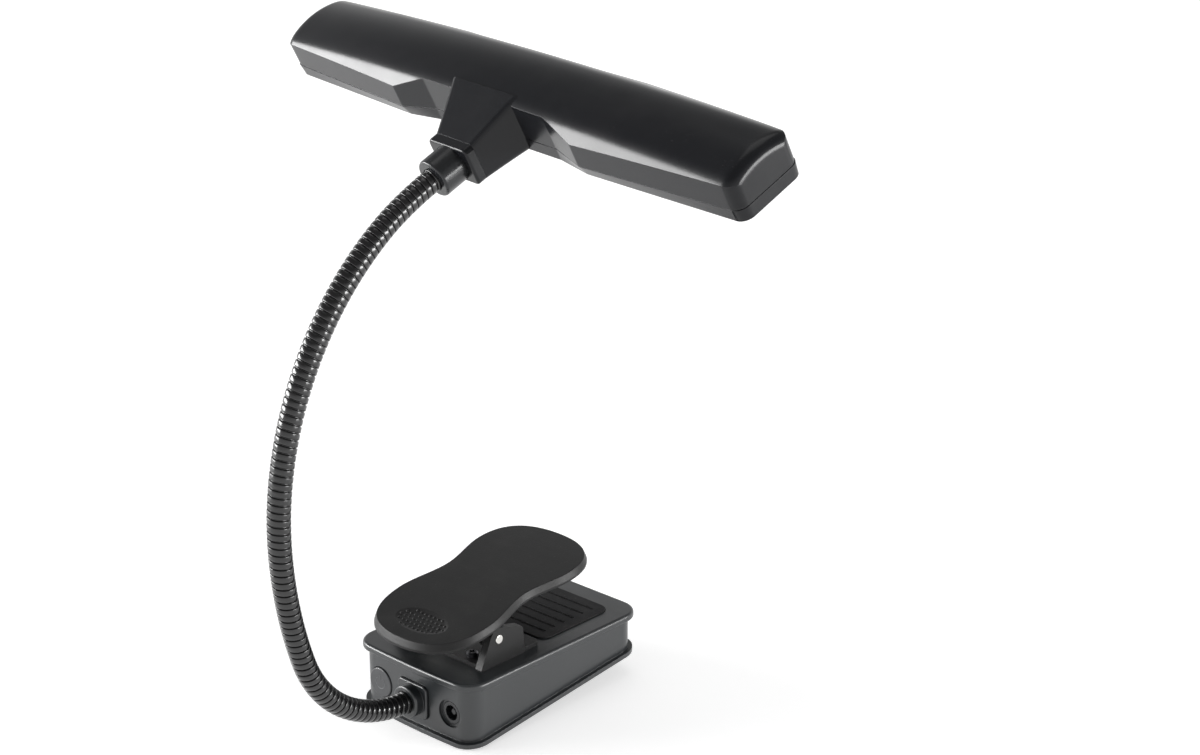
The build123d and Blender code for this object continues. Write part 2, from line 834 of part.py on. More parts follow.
lever_lean = degrees(atan2(lever_middle_height - lever_front_height, lever_middle - lever_front))
under_lever = (lever_height_at(pin_back) - lever_thick - pin_height) * cos(radians(lever_lean))
lower_leg_dip = leg_dip(lower_leg, pin_height - bracket_thick - spring_wire - leg_gap)
upper_leg_dip = lever_lean - leg_dip(upper_leg, under_lever - spring_wire - 2 * leg_gap)
start_angle = lower_leg_dip - 90.0
end_angle = 360.0 * spring_turns + 90.0 + upper_leg_dip
spring_pitch = spring_length * 360.0 / (end_angle - start_angle)
spring_plane = Plane(
    origin=(-spring_length / 2, pin_y, pin_z),
    x_dir=(0, cos(radians(start_angle)), sin(radians(start_angle))),
    z_dir=(1, 0, 0),
)

with BuildPart() as torsion_spring:
    with BuildLine() as helix:
        Helix(spring_pitch, spring_length, spring_radius)
    coil = spring_plane.location * helix.line
    with BuildSketch(Plane(origin=coil @ 0, z_dir=coil % 0)):
        Circle(spring_wire)
    sweep(path=coil)
    with BuildSketch(Plane(origin=coil @ 0, z_dir=(coil % 0) * -1)):
        Circle(spring_wire)
    extrude(amount=lower_leg)
    with BuildSketch(Plane(origin=coil @ 1, z_dir=coil % 1)):
        Circle(spring_wire)
    extrude(amount=upper_leg)

torsion_spring.part.label = "torsion_spring"
export_step(torsion_spring.part, "parts/torsion_spring.step")

# ---------------------------------------------------------------- thumb lever and its foot

def lever_arc(drop):
    """The lever's long arc in the YZ plane, lowered by drop, a little past both ends."""
    places = []
    for back, height in (
        (lever_front, lever_front_height),
        (lever_middle, lever_middle_height),
        (lever_rear, lever_rear_height),
    ):
        places.append((case_front + back, lid_top + height - drop))
    return places


def lever_band(top_drop, bottom_drop):
    """Face in the YZ plane between two lowered copies of the long arc."""
    top = lever_arc(top_drop)
    bottom = lever_arc(bottom_drop)
    with BuildSketch() as band:
        with BuildLine():
            ThreePointArc(*top)
            Line(top[2], bottom[2])
            ThreePointArc(*bottom)
            Line(bottom[0], top[0])
        make_face()
    return band.sketch


def lever_plan(inset):
    """Peanut-shaped plan of the lever, drawn in by inset."""
    with BuildSketch() as plan:
        with BuildLine():
            Spline(
                (0, case_front + lever_front + inset),
                (front_lobe - inset, case_front + front_lobe_back),
                (waist - inset, case_front + waist_back),
                (rear_lobe - inset, case_front + rear_lobe_back),
                (0, case_front + lever_rear - inset),
                tangents=((1, 0), (0, 1), (0, 1), (0, 1), (-1, 0)),
            )
            mirror(about=Plane.YZ)
        make_face()
    return plan.sketch


grip_lean = degrees(atan2(lever_height_at(grip_back + 1) - lever_height_at(grip_back - 1), 2))
grip_plane = Plane(
    origin=(0, case_front + grip_back, lid_top + lever_height_at(grip_back)),
    x_dir=(1, 0, 0),
    z_dir=Vector(0, 0, 1).rotate(Axis.X, grip_lean),
)
pocket_rear = pin_y - lug_radius - 1.5 - pocket_rim

with BuildPart() as grip_dish:
    for lift in (1, -1):
        with BuildSketch(grip_plane.offset(lift * grip_depth)):
            Ellipse(grip_long + lift * grip_slope, grip_short + lift * grip_slope)
    loft()
    fillet(grip_dish.faces().sort_by(Axis.Z)[0].edges(), radius=2 * grip_slope)

with BuildPart() as lever_pockets:
    with BuildSketch(Plane.XY):
        add(lever_plan(pocket_rim))
        with Locations((0, pocket_rear + case_length)):
            Rectangle(2 * case_width, 2 * case_length, mode=Mode.SUBTRACT)
        with Locations((0, case_front)):
            Rectangle(pocket_band, 2 * case_length, mode=Mode.SUBTRACT)
    extrude(amount=lid_top + lever_rear_height + 5)
    with BuildSketch(Plane.YZ):
        add(lever_band(pocket_skin, 2 * lever_thick))
    extrude(amount=case_width, both=True, mode=Mode.INTERSECT)

with BuildPart() as lever_plate:
    with BuildSketch(Plane.XY):
        add(lever_plan(0))
    extrude(amount=lid_top + lever_rear_height + 5)
    with BuildSketch(Plane.YZ):
        add(lever_band(0, lever_thick))
    extrude(amount=case_width, both=True, mode=Mode.INTERSECT)
    top_face = lever_plate.faces().filter_by(GeomType.CYLINDER).sort_by(Axis.Z)[-1]
    chamfer(top_face.edges(), length=lever_rim_in, length2=lever_rim_down, reference=top_face)
    top_face = lever_plate.faces().filter_by(GeomType.CYLINDER).sort_by(Axis.Z)[-1]
    fillet(top_face.edges(), radius=lever_round)
    add(grip_dish.part, mode=Mode.SUBTRACT)
    add(lever_pockets.part, mode=Mode.SUBTRACT)
    with BuildSketch(Plane.YZ.offset(ear_outer - ear_thick - slide_gap)):
        with BuildLine():
            Polyline(
                (pin_y - lug_radius, pin_z),
                (pin_y - lug_radius - 1.5, lid_top + lever_middle_height),
                (pin_y + lug_radius + 5.0, lid_top + lever_middle_height),
                (pin_y + lug_radius, pin_z),
                close=True,
            )
        make_face()
        with Locations((pin_y, pin_z)):
            Circle(lug_radius)
        add(lever_band(-10, lever_thick / 2), mode=Mode.SUBTRACT)
    extrude(amount=-lug_thick)
    mirror(about=Plane.YZ)
    with BuildSketch(Plane.YZ.offset(-case_width)):
        with Locations((pin_y, pin_z)):
            Circle(pin_radius + pin_running)
    extrude(amount=2 * case_width, mode=Mode.SUBTRACT)

lever_plate.part.label = "lever_plate"
export_step(lever_plate.part, "parts/lever_plate.step")

foot_bottom = lid_top + pad_proud + jaw_gap
with BuildPart() as jaw_foot:
    with BuildSketch(Plane.XY.offset(foot_bottom)):
        with Locations((0, case_front + (foot_front + foot_rear) / 2)):
            RectangleRounded(2 * foot_half, foot_rear - foot_front, 6.0)
    extrude(amount=lever_rear_height)
    with BuildSketch(Plane.YZ):
        add(lever_band(-lever_rear_height, lever_thick))
    extrude(amount=case_width, both=True, mode=Mode.SUBTRACT)
    with BuildSketch(Plane.XY.offset(foot_bottom)):
        with Locations((0, case_front + (foot_front + foot_rear) / 2)):
            with GridLocations(0, 4.0, 1, 5):
                Rectangle(2 * foot_half - 6, 1.3)
    extrude(amount=0.6, mode=Mode.SUBTRACT)

jaw_foot.part.label = "jaw_foot"
export_step(jaw_foot.part, "parts/jaw_foot.step")

# ---------------------------------------------------------------- head


mouth_radius = neck_radius + mouth_wall
cap_width = 2 * (mouth_radius + cap_side)
cap_height = 2 * (mouth_radius + cap_end)
head_joint = neck_place(neck_length)[0]
head = Plane(
    origin=head_joint + turned((0, 1, 0)) * neck_tail,
    x_dir=turned((1, 0, 0)),
    z_dir=turned((0, 0, 1)),
)
cap_front = mouth_length
block_front = cap_front + cap_depth
head_front = block_front + neck_depth
head_middle = head_front + head_half_depth


def station(along):
    """Plane across the head's neck, along it from the mouth, looking back down the gooseneck."""
    return Plane(
        origin=head.from_local_coords((0, along, 0)),
        x_dir=head.x_dir,
        z_dir=head.y_dir * -1,
    )


def head_outline(inset, corner, shoulder_taper=0.0, end_taper=0.0):
    """Bow-tie plan of the head, drawn in by inset, its ends' corners rounded by corner."""
    side = [
        (0, inset - head_half_depth),
        (inner_kink, inset - head_half_depth),
        (outer_kink, inset - head_shoulder + shoulder_taper),
        (head_half_length - inset, inset - head_end_depth + end_taper),
        (head_half_length - inset, rear_end_depth - end_taper - inset),
        (outer_kink, head_shoulder - shoulder_taper - inset),
        (inner_kink, head_half_depth - inset),
        (0, head_half_depth - inset),
    ]
    with BuildSketch() as outline:
        with BuildLine():
            Polyline(*side)
            mirror(about=Plane.YZ)
        make_face()
        for bend in (inner_kink, outer_kink):
            fillet([v for v in outline.vertices() if abs(abs(v.X) - bend) < 0.1], radius=3.0)
        if corner > 0:
            corners = outline.vertices().group_by(Axis.X)
            fillet(corners[0] + corners[-1], radius=corner)
    return outline.sketch


def head_form(inset):
    """The top cover's outer form, or its hollow when drawn in by inset."""
    ridge = crown_ridge - inset
    front = inset / 2 - front_ridge
    rear = rear_ridge - inset
    slice_plane = Plane(
        origin=head.from_local_coords((0, head_middle, 0)), x_dir=head.y_dir, z_dir=head.x_dir
    )
    arch_axis = Axis(head.from_local_coords((0, head_middle, crown_top - crown_arch)), head.y_dir)
    arch_angle = degrees(1.3 * head_half_length / crown_arch)
    with BuildPart() as form:
        with BuildSketch(slice_plane) as cross_section:
            with BuildLine():
                Line((front, ridge), (front - 2 * ridge, -ridge))
                Line((front - 2 * ridge, -ridge), (rear + 2 * ridge, -ridge))
                Line((rear + 2 * ridge, -ridge), (rear, ridge))
                ThreePointArc((rear, ridge), ((front + rear) / 2, crown_top - inset), (front, ridge))
            make_face()
            fillet(cross_section.vertices().sort_by(Axis.Y)[-2:], radius=ridge_round - inset)
        revolve(axis=arch_axis, revolution_arc=arch_angle)
        mirror(about=slice_plane)
        with BuildSketch(head):
            with Locations((0, head_middle)):
                add(head_outline(inset, 0))
        extrude(amount=2 * crown_top, mode=Mode.INTERSECT)
        end_edges = [
            edge
            for face in form.faces().filter_by(GeomType.PLANE)
            for edge in face.edges()
            if abs(face.normal_at().dot(head.x_dir)) > 0.99
            and head.to_local_coords(edge.center()).Z > parting_gap
        ]
        fillet(end_edges, radius=end_round - inset)
    return form.part


block_top = crown_ridge + 1.6
with BuildPart() as neck_block:
    with BuildSketch(station(block_front)):
        RectangleRounded(cap_width, cap_height, 2.0)
    with BuildSketch(station(block_front + neck_depth / 2)):
        with Locations((0, (crown_ridge - base_height) / 4)):
            RectangleRounded((cap_width + neck_flare) / 2 - neck_pinch, cap_height + 2.2, 2.2)
    with BuildSketch(station(head_front + 3.0)):
        with Locations((0, (block_top - base_height) / 2)):
            RectangleRounded(neck_flare, block_top + base_height, 2.4)
    loft()
    with BuildSketch(head.offset(0)):
        with Locations((0, head_front + head_half_depth)):
            Rectangle(4 * neck_flare, 2 * head_half_depth + 2 * seat_gap)
    extrude(amount=-4 * base_height, mode=Mode.SUBTRACT)

with BuildPart() as head_hollow:
    add(head_form(head_wall))


def rear_depth_at(x):
    """Depth of the plan behind the head's middle, between the outer kink and the end."""
    share = (x - outer_kink) / (head_half_length - outer_kink)
    return head_shoulder - share * (head_shoulder - rear_end_depth)


screw_depth = rear_depth_at(head_screw_x) - base_taper - screw_wall - head_screw_head - seat_gap
head_screws = [
    (side * head_screw_x, head_middle + way * screw_depth) for side in (-1, 1) for way in (-1, 1)
]
lens_half_length = head_half_length - lens_margin
led_board_half_length = head_half_length - led_board_margin
led_board_half_width = rear_depth_at(led_board_half_length) - head_wall - 2 * seat_gap
led_pitch = 2 * (lens_half_length - led_edge) / (led_columns - 1)

with BuildPart() as head_bosses:
    with BuildSketch(head):
        with Locations(*head_screws):
            Circle(head_boss_radius)
    extrude(amount=2 * crown_top)
    add(head_form(head_wall / 2), mode=Mode.INTERSECT)


def parting_groove(height):
    """Ring cut from the rim of the cover, or of the base where height is negative."""
    with BuildPart() as ring:
        with BuildSketch(head):
            with Locations((0, head_middle)):
                add(head_outline(-1, end_round + 1))
                add(head_outline(parting_depth, end_round - parting_depth), mode=Mode.SUBTRACT)
        extrude(amount=height)
    return ring.part


with BuildPart() as head_top_cover:
    add(head_form(0))
    add(parting_groove(parting_gap), mode=Mode.SUBTRACT)
    add(neck_block.part)
    add(head_hollow.part, mode=Mode.SUBTRACT)
    with BuildSketch(station(block_front)):
        Circle(neck_radius + 0.05)
    extrude(amount=-(neck_socket - block_front), mode=Mode.SUBTRACT)
    with BuildSketch(station(block_front)):
        Circle(neck_radius - 1.4)
    extrude(amount=-neck_depth - 4, mode=Mode.SUBTRACT)
    add(head_bosses.part)
    with BuildSketch(head):
        with Locations(*head_screws):
            Circle(head_screw_radius)
    extrude(amount=head_screw_reach + 1, mode=Mode.SUBTRACT)

head_top_cover.part.label = "head_top_cover"
export_step(head_top_cover.part, "parts/head_top_cover.step")

ledge = -led_board_sink
with BuildPart() as head_base:
    with BuildSketch(head):
        with Locations((0, head_middle)):
            add(head_outline(0, end_round))
    with BuildSketch(head.offset(-base_height)):
        with Locations((0, head_middle)):
            add(head_outline(0, end_round, base_taper, base_end_taper))
    loft(ruled=True)
    with BuildSketch(head):
        with Locations((0, head_middle)):
            RectangleRounded(
                2 * (led_board_half_length + seat_gap), 2 * (led_board_half_width + seat_gap), 2.0
            )
    extrude(amount=ledge, mode=Mode.SUBTRACT)
    with BuildSketch(head.offset(ledge)):
        with Locations((0, head_middle)):
            RectangleRounded(
                2 * (lens_half_length + lens_flange + seat_gap),
                2 * (lens_half_width + lens_flange + seat_gap),
                2.0,
            )
    extrude(amount=-(base_height + ledge - base_floor), mode=Mode.SUBTRACT)
    with BuildSketch(head.offset(-base_height)):
        with Locations((0, head_middle)):
            RectangleRounded(2 * (lens_half_length + seat_gap), 2 * (lens_half_width + seat_gap), 1.5)
    extrude(amount=base_floor, mode=Mode.SUBTRACT)
    with BuildSketch(head):
        with Locations(*head_screws):
            Circle(head_screw_radius + seat_gap)
    extrude(amount=-base_height, mode=Mode.SUBTRACT)
    with BuildSketch(head.offset(-base_height)):
        with Locations(*head_screws):
            Circle(head_screw_head + seat_gap)
    extrude(amount=screw_head_height, mode=Mode.SUBTRACT)
    add(parting_groove(-parting_gap), mode=Mode.SUBTRACT)

head_base.part.label = "head_base"
export_step(head_base.part, "parts/head_base.step")

with BuildPart() as head_collar:
    with BuildSketch(station(0)):
        Circle(mouth_radius)
    extrude(amount=-mouth_length)
    fillet(head_collar.faces().sort_by_distance(head.origin)[0].edges(), radius=0.9)
    with BuildSketch(station(0)):
        Circle(neck_radius + 0.05)
    extrude(amount=-mouth_length, mode=Mode.SUBTRACT)

head_collar.part.label = "head_collar"
export_step(head_collar.part, "parts/head_collar.step")

with BuildPart() as neck_cap:
    with BuildSketch(station(cap_front)):
        RectangleRounded(cap_width, cap_height, 2.0)
    extrude(amount=-cap_depth)
    fillet(neck_cap.faces().sort_by_distance(head.origin)[0].edges(), radius=0.9)
    with BuildSketch(station(cap_front)):
        Circle(neck_radius + 0.05)
    extrude(amount=-cap_depth, mode=Mode.SUBTRACT)

neck_cap.part.label = "neck_cap"
export_step(neck_cap.part, "parts/neck_cap.step")

tail_plane = Plane(origin=head_joint, x_dir=head.x_dir, z_dir=head.y_dir)
with BuildPart() as gooseneck_top:
    with BuildSketch(tail_plane):
        Circle(neck_radius)
    extrude(amount=neck_tail + neck_socket)
    with Locations(head_joint):
        Sphere(cup_radius, mode=Mode.SUBTRACT)

gooseneck_top.part.label = f"gooseneck_{len(joint_places) + 1}"
export_step(gooseneck_top.part, f"parts/gooseneck_{len(joint_places) + 1}.step")

with BuildPart() as lens:
    with BuildSketch(head.offset(-base_height)):
        with Locations((0, head_middle)):
            RectangleRounded(2 * lens_half_length, 2 * lens_half_width, 1.5)
    extrude(amount=base_floor)
    with BuildSketch(head.offset(-base_height + base_floor)):
        with Locations((0, head_middle)):
            RectangleRounded(
                2 * (lens_half_length + lens_flange), 2 * (lens_half_width + lens_flange), 2.0
            )
    extrude(amount=lens_thick)

lens.part.label = "lens"
export_step(lens.part, "parts/lens.step")

with BuildPart() as led_board:
    with BuildSketch(head.offset(ledge)):
        with Locations((0, head_middle)):
            RectangleRounded(2 * led_board_half_length, 2 * led_board_half_width, 2)
    extrude(amount=led_board_thick)

led_board.part.label = "led_board"
export_step(led_board.part, "parts/led_board.step")

with BuildPart() as leds:
    with BuildSketch(head.offset(ledge)):
        with Locations((0, head_middle)):
            with GridLocations(led_pitch, lens_half_width, led_columns, led_rows):
                Rectangle(led_size, led_size)
    extrude(amount=-led_height)

leds.part.label = "leds"
export_step(leds.part, "parts/leds.step")

with BuildPart() as head_screw_set:
    with BuildSketch(head.offset(-base_height + screw_head_height)):
        with Locations(*head_screws):
            Circle(head_screw_head)
    extrude(amount=-screw_head_height + 0.2)
    with BuildSketch(head.offset(-base_height + screw_head_height)):
        with Locations(*head_screws):
            Circle(head_screw_radius - 0.02)
    extrude(amount=base_height - screw_head_height + head_screw_reach)

head_screw_set.part.label = "head_screws"
export_step(head_screw_set.part, "parts/head_screws.step")
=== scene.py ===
import bisect, bmesh, bpy, json, math
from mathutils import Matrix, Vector


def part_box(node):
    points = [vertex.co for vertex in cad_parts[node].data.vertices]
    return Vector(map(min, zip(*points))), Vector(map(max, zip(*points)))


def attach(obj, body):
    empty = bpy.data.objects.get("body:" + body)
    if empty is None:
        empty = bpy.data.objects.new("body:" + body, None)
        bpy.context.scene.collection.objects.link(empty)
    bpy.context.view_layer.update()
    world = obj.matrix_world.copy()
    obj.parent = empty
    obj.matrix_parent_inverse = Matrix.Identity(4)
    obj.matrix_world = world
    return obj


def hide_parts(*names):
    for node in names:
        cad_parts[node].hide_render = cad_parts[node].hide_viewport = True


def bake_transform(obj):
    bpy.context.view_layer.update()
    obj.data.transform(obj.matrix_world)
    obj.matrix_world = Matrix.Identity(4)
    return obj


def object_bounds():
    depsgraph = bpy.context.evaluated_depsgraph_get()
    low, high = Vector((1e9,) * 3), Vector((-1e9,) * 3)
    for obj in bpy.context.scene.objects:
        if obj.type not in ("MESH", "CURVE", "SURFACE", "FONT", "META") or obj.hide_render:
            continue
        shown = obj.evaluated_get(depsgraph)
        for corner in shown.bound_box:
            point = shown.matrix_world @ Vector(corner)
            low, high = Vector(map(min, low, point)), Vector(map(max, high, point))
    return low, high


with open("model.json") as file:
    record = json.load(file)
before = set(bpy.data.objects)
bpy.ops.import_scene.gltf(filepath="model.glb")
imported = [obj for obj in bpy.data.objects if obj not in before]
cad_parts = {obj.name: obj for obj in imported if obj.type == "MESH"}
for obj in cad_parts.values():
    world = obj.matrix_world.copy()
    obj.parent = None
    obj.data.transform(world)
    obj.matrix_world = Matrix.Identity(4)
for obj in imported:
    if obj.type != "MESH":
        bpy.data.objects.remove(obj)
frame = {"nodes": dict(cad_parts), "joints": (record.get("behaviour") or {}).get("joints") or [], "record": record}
cadBox = [list(corner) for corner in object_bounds()]
nodes = frame["nodes"]
joints = {joint["name"]: joint for joint in frame["joints"]}
print("frame loaded:", len(nodes), "nodes")


def linkNew(name, data):
    piece = bpy.data.objects.new(name, data)
    bpy.context.scene.collection.objects.link(piece)
    return piece


def setInputs(tree, node, values):
    # a socket is linked, anything else becomes the input's own value
    for key, value in values.items():
        if isinstance(value, bpy.types.NodeSocket):
            tree.links.new(value, node.inputs[key])
        elif value is not None:
            node.inputs[key].default_value = value


def addNode(tree, kind, inputs=None, **settings):
    node = tree.nodes.new(kind)
    for name, value in settings.items():
        setattr(node, name, value)
    setInputs(tree, node, inputs or {})
    return node


def newTree(name, kind, takes, gives):
    # takes and gives list the names of the sockets of each kind
    tree = bpy.data.node_groups.new(name, kind)
    for inOut, kinds in (("INPUT", takes), ("OUTPUT", gives)):
        for sort, labels in kinds.items():
            for label in labels:
                tree.interface.new_socket(label, in_out=inOut, socket_type="NodeSocket" + sort)
    return tree, tree.nodes.new("NodeGroupInput").outputs, tree.nodes.new("NodeGroupOutput").inputs


def mathNode(tree, operation, a, b=None, c=None):
    node = addNode(tree, "ShaderNodeMath", {0: a, 1: b, 2: c}, operation=operation)
    return node.outputs[0]


def vectorNode(tree, operation, a, b=None, scale=None):
    node = addNode(tree, "ShaderNodeVectorMath", {0: a, 1: b, 3: scale}, operation=operation)
    return node.outputs["Value" if operation in ("DOT_PRODUCT", "LENGTH") else "Vector"]


def combined(tree, x=0.0, y=0.0, z=0.0):
    return addNode(tree, "ShaderNodeCombineXYZ", {"X": x, "Y": y, "Z": z}).outputs[0]


def evaluatedMesh(piece):
    # what a piece's curve or modifiers make, as a mesh of its own
    bpy.context.view_layer.update()
    return bpy.data.meshes.new_from_object(piece.evaluated_get(bpy.context.evaluated_depsgraph_get()))


def runTree(host, tree, values, name):
    # evaluates a geometry tree on host and keeps its result as a plain mesh
    modifier = host.modifiers.new("build", "NODES")
    modifier.node_group = tree
    for item in tree.interface.items_tree:
        if item.item_type == "SOCKET" and item.in_out == "INPUT" and item.name in values:
            modifier[item.identifier] = values[item.name]
    host.update_tag()
    mesh = evaluatedMesh(host)
    mesh.name = name
    bpy.data.objects.remove(host)
    return linkNew(name, mesh)


def endTree(tree, geometry, material, output):
    # makes instances real and gives everything one material
    real = addNode(tree, "GeometryNodeRealizeInstances", {"Geometry": geometry}).outputs[0]
    painted = addNode(tree, "GeometryNodeSetMaterial", {"Geometry": real, "Material": material})
    tree.links.new(painted.outputs[0], output)
    return tree


def lineCurve(name, lines):
    # a curve object of straight runs through points
    data = bpy.data.curves.new(name, "CURVE")
    data.dimensions = "3D"
    for points in lines:
        spline = data.splines.new("POLY")
        spline.points.add(len(points) - 1)
        for point, place in zip(spline.points, points):
            point.co = (*place, 1)
    return linkNew(name, data)


def meshPiece(name, bm):
    mesh = bpy.data.meshes.new(name)
    bm.to_mesh(mesh)
    bm.free()
    return linkNew(name, mesh)


def looseMesh(node):
    # a CAD node's triangles, joined at their corners
    bm = bmesh.new()
    bm.from_mesh(nodes[node].data)
    bmesh.ops.remove_doubles(bm, verts=bm.verts, dist=1e-6)
    return bm


def skinLoops(name, loops):
    # a closed skin over rings of points, capped at both ends
    bm = bmesh.new()
    rings = [[bm.verts.new(point) for point in loop] for loop in loops]
    for before, after in zip(rings, rings[1:]):
        for i in range(len(before)):
            j = (i + 1) % len(before)
            bm.faces.new((before[i], before[j], after[j], after[i]))
    bm.faces.new(rings[0])
    bm.faces.new(rings[-1])
    bmesh.ops.remove_doubles(bm, verts=bm.verts, dist=2e-7)
    bmesh.ops.recalc_face_normals(bm, faces=bm.faces)
    return meshPiece(name, bm)


def applyModifiers(piece):
    mesh = evaluatedMesh(piece)
    piece.modifiers.clear()
    piece.data = mesh


def cutOrJoin(piece, other, operation):
    modifier = piece.modifiers.new("cut", "BOOLEAN")
    modifier.operation, modifier.solver, modifier.object = operation, "EXACT", other
    applyModifiers(piece)
    bpy.data.objects.remove(other)
    return piece


def paint(piece, material):
    piece.data.materials.clear()
    piece.data.materials.append(material)


def softShade(piece, degrees):
    # smooth over gentle turns, crisp at edges; flat faces stay flat
    piece.data.shade_smooth()
    piece.data.set_sharp_from_angle(angle=math.radians(degrees))
    piece.modifiers.new("weigh", "WEIGHTED_NORMAL").keep_sharp = True
    applyModifiers(piece)


def ownNormals(piece, node):
    # faces that a cut left alone shade as the node's own do, the others are flat
    source, known = nodes[node].data, {}
    for face in source.polygons:
        for corner in face.loop_indices:
            place = source.vertices[source.loops[corner].vertex_index].co
            known.setdefault(tuple(round(c, 6) for c in place), []).append(
                (face.normal.copy(), source.corner_normals[corner].vector.copy()))
    mesh, normals = piece.data, []
    mesh.shade_smooth()
    for face in mesh.polygons:
        for corner in face.loop_indices:
            place = mesh.vertices[mesh.loops[corner].vertex_index].co
            found = known.get(tuple(round(c, 6) for c in place), [])
            close, normal = max(((own.dot(face.normal), shade) for own, shade in found),
                                key=lambda pair: pair[0], default=(0, None))
            normals.append(normal if close > 0.99 else face.normal.copy())
    mesh.normals_split_custom_set(normals)


def objectPlace(tree):
    return addNode(tree, "ShaderNodeTexCoord").outputs["Object"]


def stretched(tree, place, scale):
    return addNode(tree, "ShaderNodeMapping", {"Vector": place, "Scale": scale}).outputs[0]


def noise(tree, place, scale, detail):
    node = addNode(tree, "ShaderNodeTexNoise", {"Vector": place, "Scale": scale, "Detail": detail})
    return node.outputs["Fac"]


def mapRange(tree, value, fromLow, fromHigh, toLow=0.0, toHigh=1.0):
    return addNode(tree, "ShaderNodeMapRange", {
        "Value": value, "From Min": fromLow, "From Max": fromHigh, "To Min": toLow, "To Max": toHigh
    }).outputs[0]


def mixColor(tree, share, first, second):
    return addNode(tree, "ShaderNodeMix", {0: share, 6: first, 7: second}, data_type="RGBA").outputs[2]


def heightOf(tree, vector):
    return addNode(tree, "ShaderNodeSeparateXYZ", {"Vector": vector}).outputs["Z"]


def makeGrain():
    # fine mould texture over softened edges: a normal, and a gloss that varies in patches
    tree, takes, gives = newTree(
        "mouldGrain", "ShaderNodeTree",
        {"Float": ("Scale", "Depth", "Edge Radius", "Rough Low", "Rough High")},
        {"Float": ("Roughness",), "Vector": ("Normal",)})
    place = objectPlace(tree)
    fine = noise(tree, place, scale=takes["Scale"], detail=3.0)
    broad = noise(tree, place, scale=45.0, detail=5.0)
    streak = noise(tree, stretched(tree, place, (0.25, 1, 1)), scale=260.0, detail=3.0)
    mixed = mathNode(tree, "MULTIPLY_ADD", streak, 0.35, mathNode(tree, "MULTIPLY", broad, 0.65))
    rough = mapRange(tree, mixed, 0.38, 0.62, takes["Rough Low"], takes["Rough High"])
    edge = addNode(tree, "ShaderNodeBevel", {"Radius": takes["Edge Radius"]}, samples=4).outputs[0]
    bump = addNode(tree, "ShaderNodeBump", {
        "Strength": takes["Depth"], "Distance": 0.00006, "Height": fine, "Normal": edge})
    tree.links.new(rough, gives["Roughness"])
    tree.links.new(bump.outputs[0], gives["Normal"])
    return tree


def makeDust():
    # pale dust and lint that settle on faces that look up, in soft patches
    tree, takes, gives = newTree(
        "settledDust", "ShaderNodeTree",
        {"Color": ("Color",), "Float": ("Amount",)}, {"Color": ("Color",)})
    place = objectPlace(tree)
    specks = addNode(tree, "ShaderNodeTexVoronoi", {"Vector": place, "Scale": 420.0}, feature="F1")
    dots = mapRange(tree, specks.outputs["Distance"], 0.05, 0.14, 0.1, 0.0)
    haze = mapRange(tree, noise(tree, place, scale=70.0, detail=6.0), 0.48, 0.72, 0.0, 0.03)
    normal = addNode(tree, "ShaderNodeNewGeometry").outputs["Normal"]
    facing = mapRange(tree, heightOf(tree, normal), 0.2, 0.9)
    share = mathNode(tree, "MULTIPLY", mathNode(tree, "MAXIMUM", haze, dots),
                     mathNode(tree, "MULTIPLY", facing, takes["Amount"]))
    dusty = mixColor(tree, share, takes["Color"], (0.4, 0.38, 0.36, 1))
    tree.links.new(dusty, gives["Color"])
    return tree


def makeEdgeWearAndSheen():
    # lighter along the corners, partly where they rub and partly a painted sheen: broken up by noise, so it comes
    # and goes along the edge
    tree, takes, gives = newTree(
        "edgeWearAndSheen", "ShaderNodeTree",
        {"Color": ("Color", "Worn Sheen Color"), "Float": ("Width", "Amount")}, {"Color": ("Color",)})
    soft = addNode(tree, "ShaderNodeBevel", {"Radius": takes["Width"]}, samples=4).outputs[0]
    flat = addNode(tree, "ShaderNodeNewGeometry").outputs["Normal"]
    turned = mathNode(tree, "SUBTRACT", 1.0, vectorNode(tree, "DOT_PRODUCT", soft, flat))
    # the edge mask: where it is high the colour turns lighter, partly wear and partly a painted sheen
    edge = mapRange(tree, turned, 0.01, 0.12)
    gate = mapRange(tree, noise(tree, objectPlace(tree), scale=320.0, detail=5.0), 0.42, 0.62)
    mask = mathNode(tree, "MULTIPLY", mathNode(tree, "MULTIPLY", edge, gate), takes["Amount"])
    tree.links.new(mixColor(tree, mask, takes["Color"], takes["Worn Sheen Color"]), gives["Color"])
    return tree


def makeDrawing():
    # fine drawing lines of worked metal, with patches of duller gloss
    tree, takes, gives = newTree(
        "drawnMetal", "ShaderNodeTree",
        {"Vector": ("Stretch",), "Float": ("Rough Low", "Rough High")},
        {"Float": ("Roughness",), "Vector": ("Normal",)})
    place = objectPlace(tree)
    lines = noise(tree, stretched(tree, place, takes["Stretch"]), scale=900.0, detail=4.0)
    patches = noise(tree, place, scale=160.0, detail=3.0)
    rough = mapRange(tree, patches, 0.3, 0.7, takes["Rough Low"], takes["Rough High"])
    bump = addNode(tree, "ShaderNodeBump", {"Strength": 0.15, "Distance": 0.00003, "Height": lines})
    tree.links.new(rough, gives["Roughness"])
    tree.links.new(bump.outputs[0], gives["Normal"])
    return tree


grainGroup, dustGroup, wearSheenGroup, drawingGroup = makeGrain(), makeDust(), makeEdgeWearAndSheen(), makeDrawing()
print("shared effects made")


def newMaterial(name):
    material = bpy.data.materials.new(name)
    material.use_nodes = True
    tree = material.node_tree
    return material, tree, tree.nodes["Principled BSDF"]


def placeGroup(tree, group, values):
    return addNode(tree, "ShaderNodeGroup", values, node_tree=group).outputs


